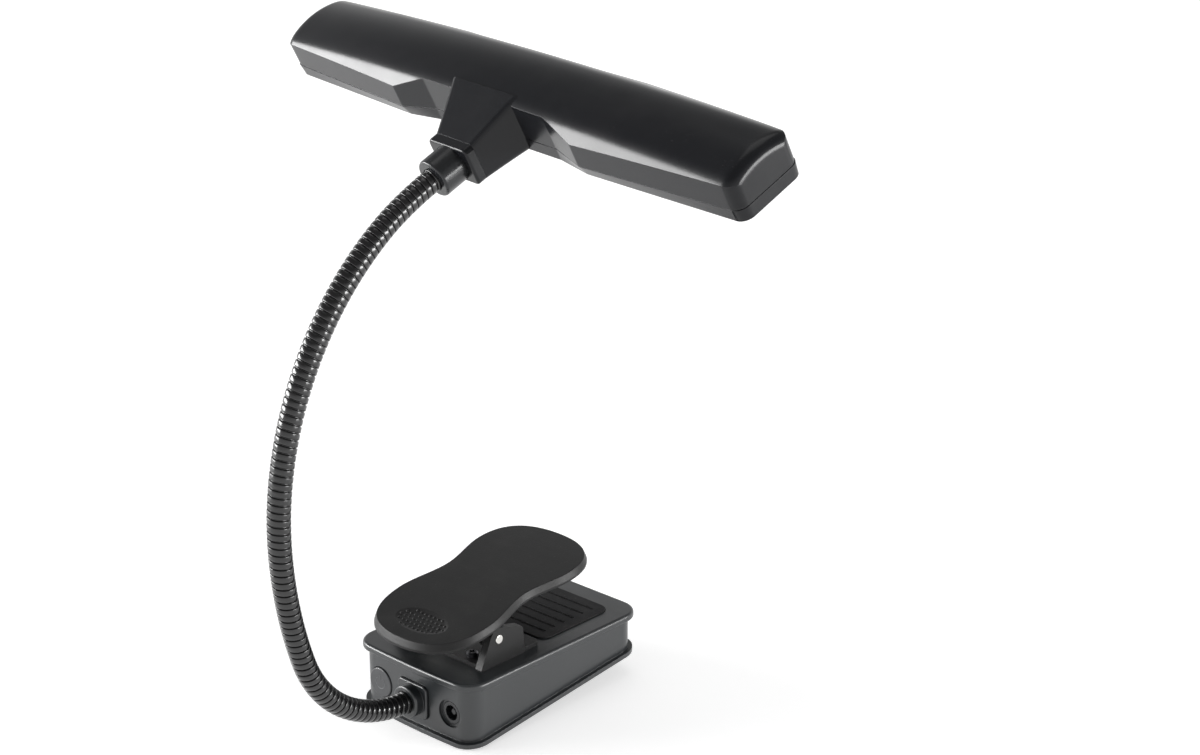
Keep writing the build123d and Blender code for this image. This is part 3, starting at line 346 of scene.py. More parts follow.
def plastic(name, look):
    # moulded plastic: grain, patchy gloss, rubbed corners with a painted sheen and a little dust
    material, tree, shader = newMaterial(name)
    feel = placeGroup(tree, grainGroup, {
        "Scale": look.get("grainScale", 2600.0), "Depth": look.get("grain", 0.3),
        "Edge Radius": look.get("edge", 0.0003),
        "Rough Low": look["rough"][0], "Rough High": look["rough"][1]})
    # lighter corners: partly wear, partly a painted sheen
    wornSheen = placeGroup(tree, wearSheenGroup, {
        "Color": (*look["color"], 1), "Worn Sheen Color": (*look.get("wornSheen", (0.09, 0.09, 0.095)), 1),
        "Width": look.get("wearSheenWidth", 0.0005), "Amount": look.get("wearAndSheen", 0.25)})
    film = placeGroup(tree, dustGroup, {"Color": wornSheen["Color"], "Amount": look.get("dust", 0.5)})
    setInputs(tree, shader, {
        "Base Color": film["Color"], "Roughness": feel["Roughness"], "Normal": feel["Normal"],
        "Specular IOR Level": look.get("specular", 0.3), "Coat Weight": look.get("coat", 0.0),
        "Coat Roughness": look.get("coatRough", 0.08)})
    return material


def metal(name, look):
    # bare or plated metal: drawing lines, patchy gloss and corners rubbed bright, partly a painted sheen
    material, tree, shader = newMaterial(name)
    feel = placeGroup(tree, drawingGroup, {
        "Stretch": look.get("stretch", (1, 1, 1)),
        "Rough Low": look["rough"][0], "Rough High": look["rough"][1]})
    # lighter corners: partly wear, partly a painted sheen
    wornSheen = placeGroup(tree, wearSheenGroup, {
        "Color": (*look["color"], 1), "Worn Sheen Color": (*look.get("wornSheen", (0.7, 0.69, 0.67)), 1),
        "Width": 0.0003, "Amount": 0.4})
    setInputs(tree, shader, {
        "Metallic": 1.0, "Base Color": wornSheen["Color"],
        "Roughness": feel["Roughness"], "Normal": feel["Normal"]})
    return material


def milky(name):
    # acrylic that scatters light a little
    material, tree, shader = newMaterial(name)
    feel = placeGroup(tree, grainGroup, {
        "Scale": 1400.0, "Depth": 0.25, "Edge Radius": 0.0002, "Rough Low": 0.34, "Rough High": 0.42})
    dusty = placeGroup(tree, dustGroup, {"Color": (0.86, 0.87, 0.88, 1), "Amount": 0.3})
    setInputs(tree, shader, {
        "Base Color": dusty["Color"], "Roughness": feel["Roughness"], "Normal": feel["Normal"],
        "Subsurface Weight": 0.3, "Subsurface Radius": (0.002, 0.002, 0.002)})
    return material


plastics = {
    "case_shell": ("caseShell", dict(
        color=(0.011, 0.0135, 0.0155), rough=(0.3, 0.38), grain=0.2, specular=0.85)),
    "head_shell": ("headShell", dict(
        color=(0.0075, 0.008, 0.010), rough=(0.2, 0.26), grain=0.05, dust=0.3, specular=0.32)),
    "lever_shell": ("leverShell", dict(
        color=(0.0088, 0.0088, 0.009), rough=(0.38, 0.46), grain=0.55, grainScale=2100.0, specular=0.35,
        edge=0.0002)),
    "button_cap": ("buttonCap", dict(
        color=(0.03, 0.032, 0.035), rough=(0.28, 0.36), grain=0.12, specular=0.8)),
    "white_parts": ("whiteNylon", dict(color=(0.78, 0.77, 0.73), rough=(0.4, 0.5), grain=0.2, wearAndSheen=0.0)),
    "jaw_rubber": ("jawRubber", dict(
        color=(0.016, 0.016, 0.017), rough=(0.7, 0.85), grain=0.8, grainScale=1500.0, specular=0.25,
        dust=1.2)),
    "neck_steel": ("neckLacquer", dict(
        color=(0.003, 0.003, 0.0034), rough=(0.17, 0.24), grain=0.02, dust=0.1, specular=0.55, coat=0.4,
        coatRough=0.12, wearAndSheen=0.0, edge=0.0)),
    "fittings": ("fittingBlack", dict(
        color=(0.014, 0.015, 0.017), rough=(0.2, 0.28), grain=0.1, specular=0.5)),
    "board": ("solderMask", dict(
        color=(0.012, 0.11, 0.045), rough=(0.25, 0.35), grain=0.1, coat=0.4, wornSheen=(0.5, 0.4, 0.15))),
    "led_white_board": ("whiteMask", dict(color=(0.82, 0.82, 0.8), rough=(0.3, 0.4), grain=0.1, wearAndSheen=0.0)),
    "led_body": ("phosphor", dict(
        color=(0.86, 0.72, 0.2), rough=(0.3, 0.4), grain=0.1, wornSheen=(0.9, 0.9, 0.88), wearAndSheen=1.0,
        wearSheenWidth=0.0008)),
}
metals = {
    "bright_steel": ("nickel", dict(color=(0.74, 0.73, 0.7), rough=(0.14, 0.24))),
    "screw_steel": ("blackZinc", dict(color=(0.13, 0.13, 0.14), rough=(0.28, 0.4), wornSheen=(0.4, 0.39, 0.38))),
    "spring_steel": ("springWire", dict(color=(0.5, 0.49, 0.48), rough=(0.22, 0.34), stretch=(0.1, 1, 1))),
    "cell_jacket": ("cellJacket", dict(color=(0.42, 0.44, 0.47), rough=(0.25, 0.38), stretch=(1, 0.1, 1))),
}
finishes = {slot: plastic(*entry) for slot, entry in plastics.items()}
finishes.update({slot: metal(*entry) for slot, entry in metals.items()})
finishes["diffuser"] = milky("milkyLens")

for row in frame["record"]["subparts"]:
    paint(nodes[row["node"]], finishes[row["material_slot"]])
print("materials set:", len(finishes))

neck = {
    "bends": ((0.045, 72.0), (0.148, 16.0), (0.1124, 63.9)),  # radius, turn
    "joints": (0.032, 0.080, 0.128, 0.176),  # along the line from the collar
    "bodies": ("case", "neck_low", "neck_mid", "neck_high", "neck_top", "head"),
    "insideCase": 0.0104,  # how far the winding goes on past the collar
    "insideHead": 0.0235,  # and past the last joint
    "blendReach": 0.018,  # how far to either side of its joint the route is looked up; the skin itself is not bent there
    "headReach": 0.009,  # and less far on the head's side
    "easeFrom": 0.014,  # before the last joint the line starts to turn into the head's axis
    "tail": 0.010,  # from the last joint to the head's mouth
    "pitch": 0.00235,
    "turnPoints": 26.0,
    "outer": 0.0039,  # radius over the winding
    "wireWide": 0.001,  # half the width of its flat strip
    "wireThick": 0.00045,  # and half the thickness
    "wireRound": 0.00034,
    "threadRadius": 0.0003,  # of the thin wire between the strip's turns
    "threadAt": 0.0032,
    "core": 0.0031,  # radius of the tube inside
    "coreStep": 0.0012,
    "step": 0.0008,
}
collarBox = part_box("neck_flange")
neckStart = Vector((0, collarBox[0].y, (collarBox[0].z + collarBox[1].z) / 2))
neckLength = sum(radius * math.radians(turn) for radius, turn in neck["bends"])


def neckPoint(distance):
    # point and heading of the line, in the YZ plane: 180 degrees is forward, out of the case
    y, z, heading = neckStart.y, neckStart.z, math.pi
    if distance <= 0:
        return Vector((0, y - distance, z)), heading
    for radius, turn in neck["bends"]:
        turned = min(distance / radius, math.radians(turn))
        after = heading - turned
        y += radius * (math.sin(heading) - math.sin(after))
        z += radius * (math.cos(after) - math.cos(heading))
        heading = after
        distance -= turned * radius
        if distance <= 1e-9:
            break
    return Vector((0, y, z)), heading


def headAxes():
    # the head's own across, along and up, from the collar that the gooseneck enters by
    up, pivot = Vector(joints["head_turn"]["axis"]), Vector(joints["head_turn"]["pos_m"])
    low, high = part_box("head_collar")
    along = ((low + high) / 2 - pivot).normalized()
    along = (along - up * along.dot(up)).normalized()
    return along.cross(up), along, up, pivot


headAcross, headAlong, headUp, headPivot = headAxes()
headMouth = headPivot + headAlong * neck["tail"]


def routePoint(at):
    # past the last joint the line eases into the head's axis
    easeFrom, easeTo = neckLength - neck["easeFrom"], neckLength + neck["tail"]
    if at <= easeFrom:
        return neckPoint(at)[0]
    if at >= easeTo:
        return headPivot + headAlong * (at - neckLength)
    low, heading = neckPoint(easeFrom)
    lowWay = Vector((0, math.cos(heading), math.sin(heading)))
    span = easeTo - easeFrom
    t = (at - easeFrom) / span
    return (low * (2 * t**3 - 3 * t**2 + 1) + lowWay * (span * (t**3 - 2 * t**2 + t))
            + headMouth * (-2 * t**3 + 3 * t**2) + headAlong * (span * (t**3 - t**2)))


def windingTree():
    tree, takes, gives = newTree("neckWinding", "GeometryNodeTree", {
        "Geometry": ("Geometry",),
        "Float": ("Start", "Pitch", "Turn Points", "Wire Radius", "Wire Wide", "Wire Thick", "Wire Round",
                  "Thread Radius", "Thread At", "Core", "Core Step"),
        "Material": ("Material",)}, {"Geometry": ("Geometry",)})

    def resampled(length):
        return addNode(tree, "GeometryNodeResampleCurve", {"Curve": takes["Geometry"], "Length": length},
                       mode="LENGTH").outputs[0]

    def swept(curve, profile):
        return addNode(tree, "GeometryNodeCurveToMesh", {
            "Curve": curve, "Profile Curve": profile, "Fill Caps": True}).outputs[0]

    spaced = resampled(mathNode(tree, "DIVIDE", takes["Pitch"], takes["Turn Points"]))
    along = addNode(tree, "GeometryNodeSplineParameter").outputs["Length"]
    tangent = addNode(tree, "GeometryNodeInputTangent").outputs["Tangent"]
    side = vectorNode(tree, "NORMALIZE", vectorNode(tree, "CROSS_PRODUCT", tangent, (1.0, 0.0, 0.0)))
    other = vectorNode(tree, "CROSS_PRODUCT", side, tangent)

    def wound(lead, radius, profile):
        # one wire wound round the line, half a pitch ahead where lead is 0.5
        turns = mathNode(tree, "ADD", mathNode(
            tree, "DIVIDE", mathNode(tree, "ADD", along, takes["Start"]), takes["Pitch"]), lead)
        angle = mathNode(tree, "MULTIPLY", turns, 2 * math.pi)
        outward = vectorNode(
            tree, "ADD",
            vectorNode(tree, "SCALE", side, scale=mathNode(tree, "COSINE", angle)),
            vectorNode(tree, "SCALE", other, scale=mathNode(tree, "SINE", angle)))
        kept = addNode(tree, "GeometryNodeCaptureAttribute", {"Geometry": spaced}, domain="POINT")
        kept.capture_items.new("VECTOR", "outward")
        setInputs(tree, kept, {"outward": outward})
        moved = addNode(tree, "GeometryNodeSetPosition", {
            "Geometry": kept.outputs["Geometry"],
            "Offset": vectorNode(tree, "SCALE", kept.outputs["outward"], scale=radius)})
        aimed = addNode(tree, "GeometryNodeSetCurveNormal", {
            "Curve": moved.outputs[0], "Normal": kept.outputs["outward"]}, mode="FREE")
        return swept(aimed.outputs[0], profile)

    def roundProfile(radius, count):
        return addNode(tree, "GeometryNodeCurvePrimitiveCircle", {
            "Resolution": count, "Radius": radius}).outputs[0]

    # the outer winding is a flat strip with rounded edges
    flat = addNode(tree, "GeometryNodeCurvePrimitiveQuadrilateral", {
        "Width": mathNode(tree, "MULTIPLY", takes["Wire Thick"], 2.0),
        "Height": mathNode(tree, "MULTIPLY", takes["Wire Wide"], 2.0)})
    strip = addNode(tree, "GeometryNodeFilletCurve", {
        "Curve": flat.outputs[0], "Count": 3, "Radius": takes["Wire Round"]}, mode="POLY")
    main = wound(0.0, takes["Wire Radius"], strip.outputs[0])
    thread = wound(0.5, takes["Thread At"], roundProfile(takes["Thread Radius"], 7))
    core = swept(resampled(takes["Core Step"]), roundProfile(takes["Core"], 24))
    joined = addNode(tree, "GeometryNodeJoinGeometry")
    for part in (core, thread, main):
        tree.links.new(part, joined.inputs[0])
    smooth = addNode(tree, "GeometryNodeSetShadeSmooth", {"Geometry": joined.outputs[0]})
    return endTree(tree, smooth.outputs[0], takes["Material"], gives["Geometry"])


def makeGooseneck():
    tree = windingTree()
    spans, bodies = (*neck["joints"], neckLength), neck["bodies"]
    begin = -neck["insideCase"]
    for number, joint in enumerate(spans):
        last = number == len(spans) - 1
        end = neckLength + neck["insideHead"] if last else (joint + spans[number + 1]) / 2
        count = round((end - begin) / neck["step"])
        route = [routePoint(begin + (end - begin) * i / count) for i in range(count + 1)]
        piece = runTree(lineCurve("route", [route]), tree, {
            "Start": begin, "Pitch": neck["pitch"], "Turn Points": neck["turnPoints"],
            "Wire Radius": neck["outer"] - neck["wireThick"], "Wire Wide": neck["wireWide"],
            "Wire Thick": neck["wireThick"], "Wire Round": neck["wireRound"],
            "Thread Radius": neck["threadRadius"], "Thread At": neck["threadAt"],
            "Core": neck["core"], "Core Step": neck["coreStep"], "Material": finishes["neck_steel"],
        }, f"gooseneck_skin_{number + 1}")
        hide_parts(f"gooseneck_{number + 1}")
        if last:
            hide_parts(f"gooseneck_{number + 2}")
        near, far = joint - neck["blendReach"], joint + neck["headReach" if last else "blendReach"]
        tuple(routePoint(near))
        tuple(routePoint(far))
        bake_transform(piece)
        print("gooseneck skin", number + 1, len(piece.data.polygons), "faces")
        begin = end


makeGooseneck()

cover = {
    "halfLength": 0.116,
    "wall": 0.0018,
    # depth of the plan in front of and behind the head's middle, by the distance from its centre
    "frontPlan": ((0.0, 0.0137), (0.0315, 0.0137), (0.0465, 0.0175), (0.1161, 0.0145)),
    "rearPlan": ((0.0, 0.0137), (0.0315, 0.0137), (0.0465, 0.0175), (0.1161, 0.0116)),
    "ridges": (-0.0133, 0.0113),  # where the front and rear bevels meet the crown
    "ridgeHeight": 0.0132,
    "ridgeRound": 0.010,
    "bevelReach": 0.04,
    "top": 0.0157,
    "arch": 2.243,  # radius of the crown's long arch
    "endRound": 0.004,
    "groove": 0.0002,
    "grooveDepth": 0.0003,
    "middle": 0.0417,  # from the mouth to the head's middle
    "seatDeep": 0.0135,  # the flare is cut away this far below the parting line, where the base is
    # the flared neck: distance from the mouth, width, height, height of its centre, corner round
    "flare": ((0.0128, 0.0198, 0.0140, 0.0, 0.0020),
              (0.0204, 0.0259, 0.0162, 0.002175, 0.0022),
              (0.0310, 0.0350, 0.0193, 0.00515, 0.0024)),
    "boreStart": 0.012,
    "bores": ((0.00405, 0.0160), (0.0026, 0.0320)),  # for the gooseneck's end and the wires
    "step": 0.001,
    "hollowStep": 0.006,
    "hollowFloor": -0.001,  # below the parting line, so that the cover is open there
    "crisp": 32,  # degrees at which an edge shades crisp
}
# how many steps each turn or side of the cover is drawn in
fine = {"round": 16, "crown": 20, "across": 46, "wall": 4, "end": 9, "flare": 16, "corner": 6, "bore": 40}


def headPoint(a, b, c):
    # a across, b along from the mouth, c above the parting line
    return headMouth + headAcross * a + headAlong * b + headUp * c


def between(points, at):
    # height at a place on a broken line whose points are in order
    i = min(max(bisect.bisect([point[0] for point in points], at), 1), len(points) - 1)
    (x0, y0), (x1, y1) = points[i - 1], points[i]
    return y0 + (y1 - y0) * (at - x0) / (x1 - x0)


def crestLine(inset):
    # cross-section of the crown at the head's centre: bevel, round, shallow arc, round, bevel
    front, rear = cover["ridges"]
    soft, rise = cover["ridgeRound"], cover["top"] - cover["ridgeHeight"]
    crownRadius = (((rear - front) / 2) ** 2 + rise**2) / (2 * rise)
    centre = Vector(((front + rear) / 2, cover["top"] - crownRadius))
    way, outward = Vector((1, 1)).normalized(), Vector((-1, 1)).normalized()
    shift = outward.dot(Vector((front, cover["ridgeHeight"])) - centre) - soft
    heart = outward * shift + way * math.sqrt((crownRadius - soft) ** 2 - shift**2)
    lean = math.atan2(-heart.x, heart.y)
    half = [heart + outward * (soft - inset) - way * cover["bevelReach"]]
    for i in range(fine["round"] + 1):
        angle = math.pi / 4 + (lean - math.pi / 4) * i / fine["round"]
        half.append(heart + Vector((-math.sin(angle), math.cos(angle))) * (soft - inset))
    for i in range(1, fine["crown"] + 1):
        angle = lean * (1 - i / fine["crown"])
        half.append(Vector((-math.sin(angle), math.cos(angle))) * (crownRadius - inset))
    whole = half + [Vector((-point.x, point.y)) for point in reversed(half[:-1])]
    return [tuple(point + centre) for point in whole]


def coverSection(x, crest, inset, floor, grooved):
    # ring of points round the cover at x: up the front wall, over the crown and down the rear
    drop = cover["arch"] - cover["top"]
    depths = [between(cover[plan], abs(x)) - inset for plan in ("frontPlan", "rearPlan")]
    over = []
    for i in range(fine["across"] + 1):
        b = -depths[0] + (depths[0] + depths[1]) * i / fine["across"]
        over.append((b, math.sqrt((drop + between(crest, b)) ** 2 - x**2) - drop))
    start = cover["groove"] if grooved else floor

    def wall(at, top):
        return [(at, start + (top - start) * i / fine["wall"]) for i in range(fine["wall"])]

    front, rear = wall(-depths[0], over[0][1]), wall(depths[1], over[-1][1])
    if grooved:
        deep = cover["grooveDepth"]
        low = start if floor is None else floor
        front = [(-depths[0] + deep, low), (-depths[0] + deep, start)] + front
        rear = [(depths[1] - deep, low), (depths[1] - deep, start)] + rear
    ring = front + over + rear[::-1]
    return [headPoint(x, cover["middle"] + b, c) for b, c in ring]


def coverForm(name, inset, floor, grooved, step):
    # the whole form, its ends rounded from the walls over the top
    length, soft = cover["halfLength"] - inset, cover["endRound"] - inset
    flat = length - soft
    count = round(flat / step)
    places = [flat * i / count for i in range(count + 1)] + [plan[0] for plan in cover["frontPlan"][1:3]]
    turns = [math.radians(90 * i / fine["end"]) for i in range(1, fine["end"] + 1)]
    ends = [(flat + soft * math.sin(turn), inset + soft * (1 - math.cos(turn)), floor) for turn in turns]
    if grooved:
        # the groove goes round the end too: past its depth the ring starts at the groove's top
        edge = cover["halfLength"] - cover["grooveDepth"]
        drawn = soft * (1 - math.cos(math.asin((edge - flat) / soft)))
        kept = [end for end in ends if end[0] < edge]
        past = [(*end[:2], None) for end in ends if end[0] >= edge]
        ends = kept + [(edge, drawn, floor), (edge, drawn, None)] + past
    half = [(place, inset, floor) for place in sorted(places)] + ends
    crests = {drawn: crestLine(drawn) for _, drawn, _ in half}
    whole = [(-x, drawn, low) for x, drawn, low in reversed(half[1:])] + half
    return skinLoops(name, [coverSection(x, crests[drawn], drawn, low, grooved) for x, drawn, low in whole])


def roundedRing(place, wide, tall, centre, corner):
    # rounded rectangle across the head's neck
    ring = []
    for sx, sz, start in ((1, 1, 0), (-1, 1, 90), (-1, -1, 180), (1, -1, 270)):
        for i in range(fine["corner"] + 1):
            angle = math.radians(start + 90 * i / fine["corner"])
            ring.append(headPoint(sx * (wide / 2 - corner) + corner * math.cos(angle), place,
                                  centre + sz * (tall / 2 - corner) + corner * math.sin(angle)))
    return ring


def makeCover():
    skin = coverForm("head_cover_skin", 0.0, 0.0, True, cover["step"])
    # the flare's sections blend smoothly from the cap to the head
    (first, *capEnd), (second, *halfway), (third, *headEnd) = cover["flare"]
    rings = []
    for i in range(fine["flare"] + 1):
        at = first + (third - first) * i / fine["flare"]
        weights = ((at - second) * (at - third) / ((first - second) * (first - third)),
                   (at - first) * (at - third) / ((second - first) * (second - third)),
                   (at - first) * (at - second) / ((third - first) * (third - second)))
        sizes = (sum(w * v for w, v in zip(weights, given)) for given in zip(capEnd, halfway, headEnd))
        rings.append(roundedRing(at, *sizes))
    flare = skinLoops("flare", rings)
    front, wide = cover["middle"] - cover["frontPlan"][0][1], 2 * cover["flare"][2][1]
    corners = ((-wide, front), (wide, front), (wide, 2 * front), (-wide, 2 * front))
    seat = skinLoops("seat", [[headPoint(x, y, z) for x, y in corners] for z in (-cover["seatDeep"], 0.0)])
    cutOrJoin(skin, cutOrJoin(flare, seat, "DIFFERENCE"), "UNION")
    hollow = coverForm("hollow", cover["wall"], cover["hollowFloor"], False, cover["hollowStep"])
    cutOrJoin(skin, hollow, "DIFFERENCE")
    turns = [math.tau * i / fine["bore"] for i in range(fine["bore"])]
    for radius, end in cover["bores"]:
        cutOrJoin(skin, skinLoops("bore", [
            [headPoint(radius * math.cos(turn), at, radius * math.sin(turn)) for turn in turns]
            for at in (cover["boreStart"], end)]), "DIFFERENCE")
    softShade(skin, cover["crisp"])
    paint(skin, finishes["head_shell"])
    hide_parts("head_top_cover")
    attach(skin, "head")
    print("head cover", len(skin.data.polygons), "faces")


makeCover()

tray = {
    "halfWidth": 0.0270,  # of the wall
    "slope": math.radians(5.6),  # of the underside
    "lip": 0.0016,  # height of the lip round the underside
    "boardMargin": 0.0028,
    "clear": 0.00001,  # the cutters start this far outside the wall
    "cutReach": 0.004,  # and reach this far
    "cutAbove": 0.001,
}


def makeTray():
    # the tray's side walls stay smooth where the circuit board's rails stand inside them
    skin = meshPiece("case_tray_skin", looseMesh("case_tray"))
    (low, high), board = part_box("case_tray"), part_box("circuit_board")
    top = high.z + tray["cutAbove"]
    for side in (-1, 1):
        near, far = (side * (tray["halfWidth"] + tray[more]) for more in ("clear", "cutReach"))
        rings = []
        for y in (board[0].y - tray["boardMargin"], board[1].y + tray["boardMargin"]):
            lip = low.z + (y - low.y) * math.tan(tray["slope"]) + tray["lip"] / math.cos(tray["slope"])
            rings.append([(near, y, lip), (far, y, lip), (far, y, top), (near, y, top)])
        cutOrJoin(skin, skinLoops("cutter", rings), "DIFFERENCE")
    ownNormals(skin, "case_tray")
    paint(skin, finishes["case_shell"])
    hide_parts("case_tray")
    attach(skin, "case")
    print("tray", len(skin.data.polygons), "faces")


def makeSpring():
    # the spring's one leg rests on the bracket and the other on the lever; here it is a fixed copy of the node
    # with the node's own shading
    skin = meshPiece("spring_skin", looseMesh("torsion_spring"))
    ownNormals(skin, "torsion_spring")
    paint(skin, finishes["spring_steel"])
    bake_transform(skin)
    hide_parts("torsion_spring")


makeTray()
makeSpring()

gripDots = {
    "centre": (0.0, -0.0544, 0.0),
    "pitch": (0.00203, 0.00196),  # across, and from row to row
    "count": (13, 5),  # columns and rows
    "reach": (5.3, 2.55),  # the oval that they fill, in pitches and rows
    "radius": 0.00055,
    "height": 0.00036,
    "drop": 0.1,  # height that they are let fall from onto the lever
}


def dotTree():
    tree, takes, gives = newTree("gripDots", "GeometryNodeTree", {
        "Geometry": ("Geometry",), "Int": ("Columns", "Rows"),
        "Float": ("Pitch", "Row Pitch", "Reach", "Row Reach", "Drop", "Radius", "Height"),
        "Vector": ("Centre",), "Object": ("Target",),
        "Material": ("Material",)}, {"Geometry": ("Geometry",)})

    def fromMiddle(number, count):
        return mathNode(tree, "SUBTRACT", number, mathNode(
            tree, "DIVIDE", mathNode(tree, "SUBTRACT", takes[count], 1.0), 2.0))

    def squaredShare(value, whole):
        return mathNode(tree, "POWER", mathNode(tree, "DIVIDE", value, takes[whole]), 2.0)

    index = addNode(tree, "GeometryNodeInputIndex").outputs[0]
    row = fromMiddle(mathNode(tree, "FLOOR", mathNode(tree, "DIVIDE", index, takes["Columns"])), "Rows")
    column = fromMiddle(mathNode(tree, "MODULO", index, takes["Columns"]), "Columns")
    # every other row is shifted by half a pitch
    odd = mathNode(tree, "MODULO", mathNode(tree, "ABSOLUTE", row), 2.0)
    shifted = mathNode(tree, "ADD", column, mathNode(tree, "MULTIPLY", odd, 0.5))
    place = combined(tree, mathNode(tree, "MULTIPLY", shifted, takes["Pitch"]),
                     mathNode(tree, "MULTIPLY", row, takes["Row Pitch"]), takes["Drop"])
    points = addNode(tree, "GeometryNodePoints", {
        "Count": mathNode(tree, "MULTIPLY", takes["Columns"], takes["Rows"]),
        "Position": vectorNode(tree, "ADD", place, takes["Centre"])}).outputs[0]
    oval = mathNode(tree, "ADD", squaredShare(shifted, "Reach"), squaredShare(row, "Row Reach"))
    outside = addNode(tree, "FunctionNodeCompare", {0: oval, 1: 1.0}, data_type="FLOAT",
                      operation="GREATER_THAN").outputs[0]
    kept = addNode(tree, "GeometryNodeDeleteGeometry", {"Geometry": points, "Selection": outside},
                   domain="POINT").outputs[0]
    surface = addNode(tree, "GeometryNodeObjectInfo", {"Object": takes["Target"]}).outputs["Geometry"]
    cast = addNode(tree, "GeometryNodeRaycast", {
        "Target Geometry": surface, "Ray Direction": (0.0, 0.0, -1.0), "Ray Length": 1.0})
    captured = addNode(tree, "GeometryNodeCaptureAttribute", {"Geometry": kept}, domain="POINT")
    for name, output in (("hit", "Hit Position"), ("normal", "Hit Normal")):
        captured.capture_items.new("VECTOR", name)
        setInputs(tree, captured, {name: cast.outputs[output]})
    landed = addNode(tree, "GeometryNodeSetPosition", {
        "Geometry": captured.outputs["Geometry"], "Position": captured.outputs["hit"]}).outputs[0]
    dome = addNode(tree, "GeometryNodeMeshUVSphere", {"Segments": 14, "Rings": 8, "Radius": 1.0}).outputs[0]
    smooth = addNode(tree, "GeometryNodeSetShadeSmooth", {"Geometry": dome}).outputs[0]
    aim = addNode(tree, "FunctionNodeAlignRotationToVector", {"Vector": captured.outputs["normal"]}, axis="Z")
    placed = addNode(tree, "GeometryNodeInstanceOnPoints", {
        "Points": landed, "Instance": smooth, "Rotation": aim.outputs[0],
        "Scale": combined(tree, takes["Radius"], takes["Radius"], takes["Height"])}).outputs[0]
    return endTree(tree, placed, takes["Material"], gives["Geometry"])


def makeDots():
    host = linkNew("dotHost", bpy.data.meshes.new("dotHost"))
    piece = runTree(host, dotTree(), {
        "Columns": gripDots["count"][0], "Rows": gripDots["count"][1], "Pitch": gripDots["pitch"][0],
        "Row Pitch": gripDots["pitch"][1], "Reach": gripDots["reach"][0], "Row Reach": gripDots["reach"][1],
        "Centre": gripDots["centre"], "Drop": gripDots["drop"], "Radius": gripDots["radius"],
        "Height": gripDots["height"], "Target": nodes["lever_plate"], "Material": finishes["lever_shell"],
    }, "grip_dots")
    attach(piece, "lever")
    print("grip dots", len(piece.data.polygons), "faces")


makeDots()

powerMark = {
    "radius": 0.0022,
    "line": 0.00017,
    "gap": 35.0,  # half the opening at the top, in degrees
    "bar": (0.0005, 0.0029),  # from and to, above the middle
    "sunk": 0.00009,
    "steps": 40,
    "look": dict(color=(0.16, 0.165, 0.17), rough=(0.35, 0.45), grain=0.1, wearAndSheen=0.0, specular=0.5),
}


def makePowerMark():
    # an open ring and a bar, moulded on the button's face
    low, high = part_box("power_button")
    face, middle = low.y + powerMark["sunk"], (low + high) / 2
    gap, radius, steps = powerMark["gap"], powerMark["radius"], powerMark["steps"]
    turns = [math.radians(90 + gap + (360 - 2 * gap) * i / steps) for i in range(steps + 1)]
    ring = [(radius * math.cos(turn), radius * math.sin(turn)) for turn in turns]
    host = lineCurve("mark", [
        [(middle.x + x, face, middle.z + z) for x, z in line]
        for line in (ring, [(0.0, height) for height in powerMark["bar"]])])
    host.data.bevel_depth, host.data.bevel_resolution, host.data.use_fill_caps = powerMark["line"], 3, True
    piece = linkNew("power_mark", evaluatedMesh(host))
    bpy.data.objects.remove(host)
    piece.data.shade_smooth()
    paint(piece, plastic("markPaint", powerMark["look"]))
    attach(piece, "button")


makePowerMark()

screws = {
    # node: its body, the way its heads face, head height, shank radius
    "case_screws": ("case", Vector((0, 0, -1)), 0.0015, 0.0009),
    "bracket_screws": ("case", Vector((0, 0, 1)), 0.0015, 0.00088),
    "head_screws": ("head", -headUp, 0.0011, 0.00088),
}
recess = {"long": 0.62, "wide": 0.17, "deep": 0.55}  # shares of the head's width and height
screwHead = {"straight": 0.65, "top": 0.78}  # share of the height that is straight, and of the radius on top


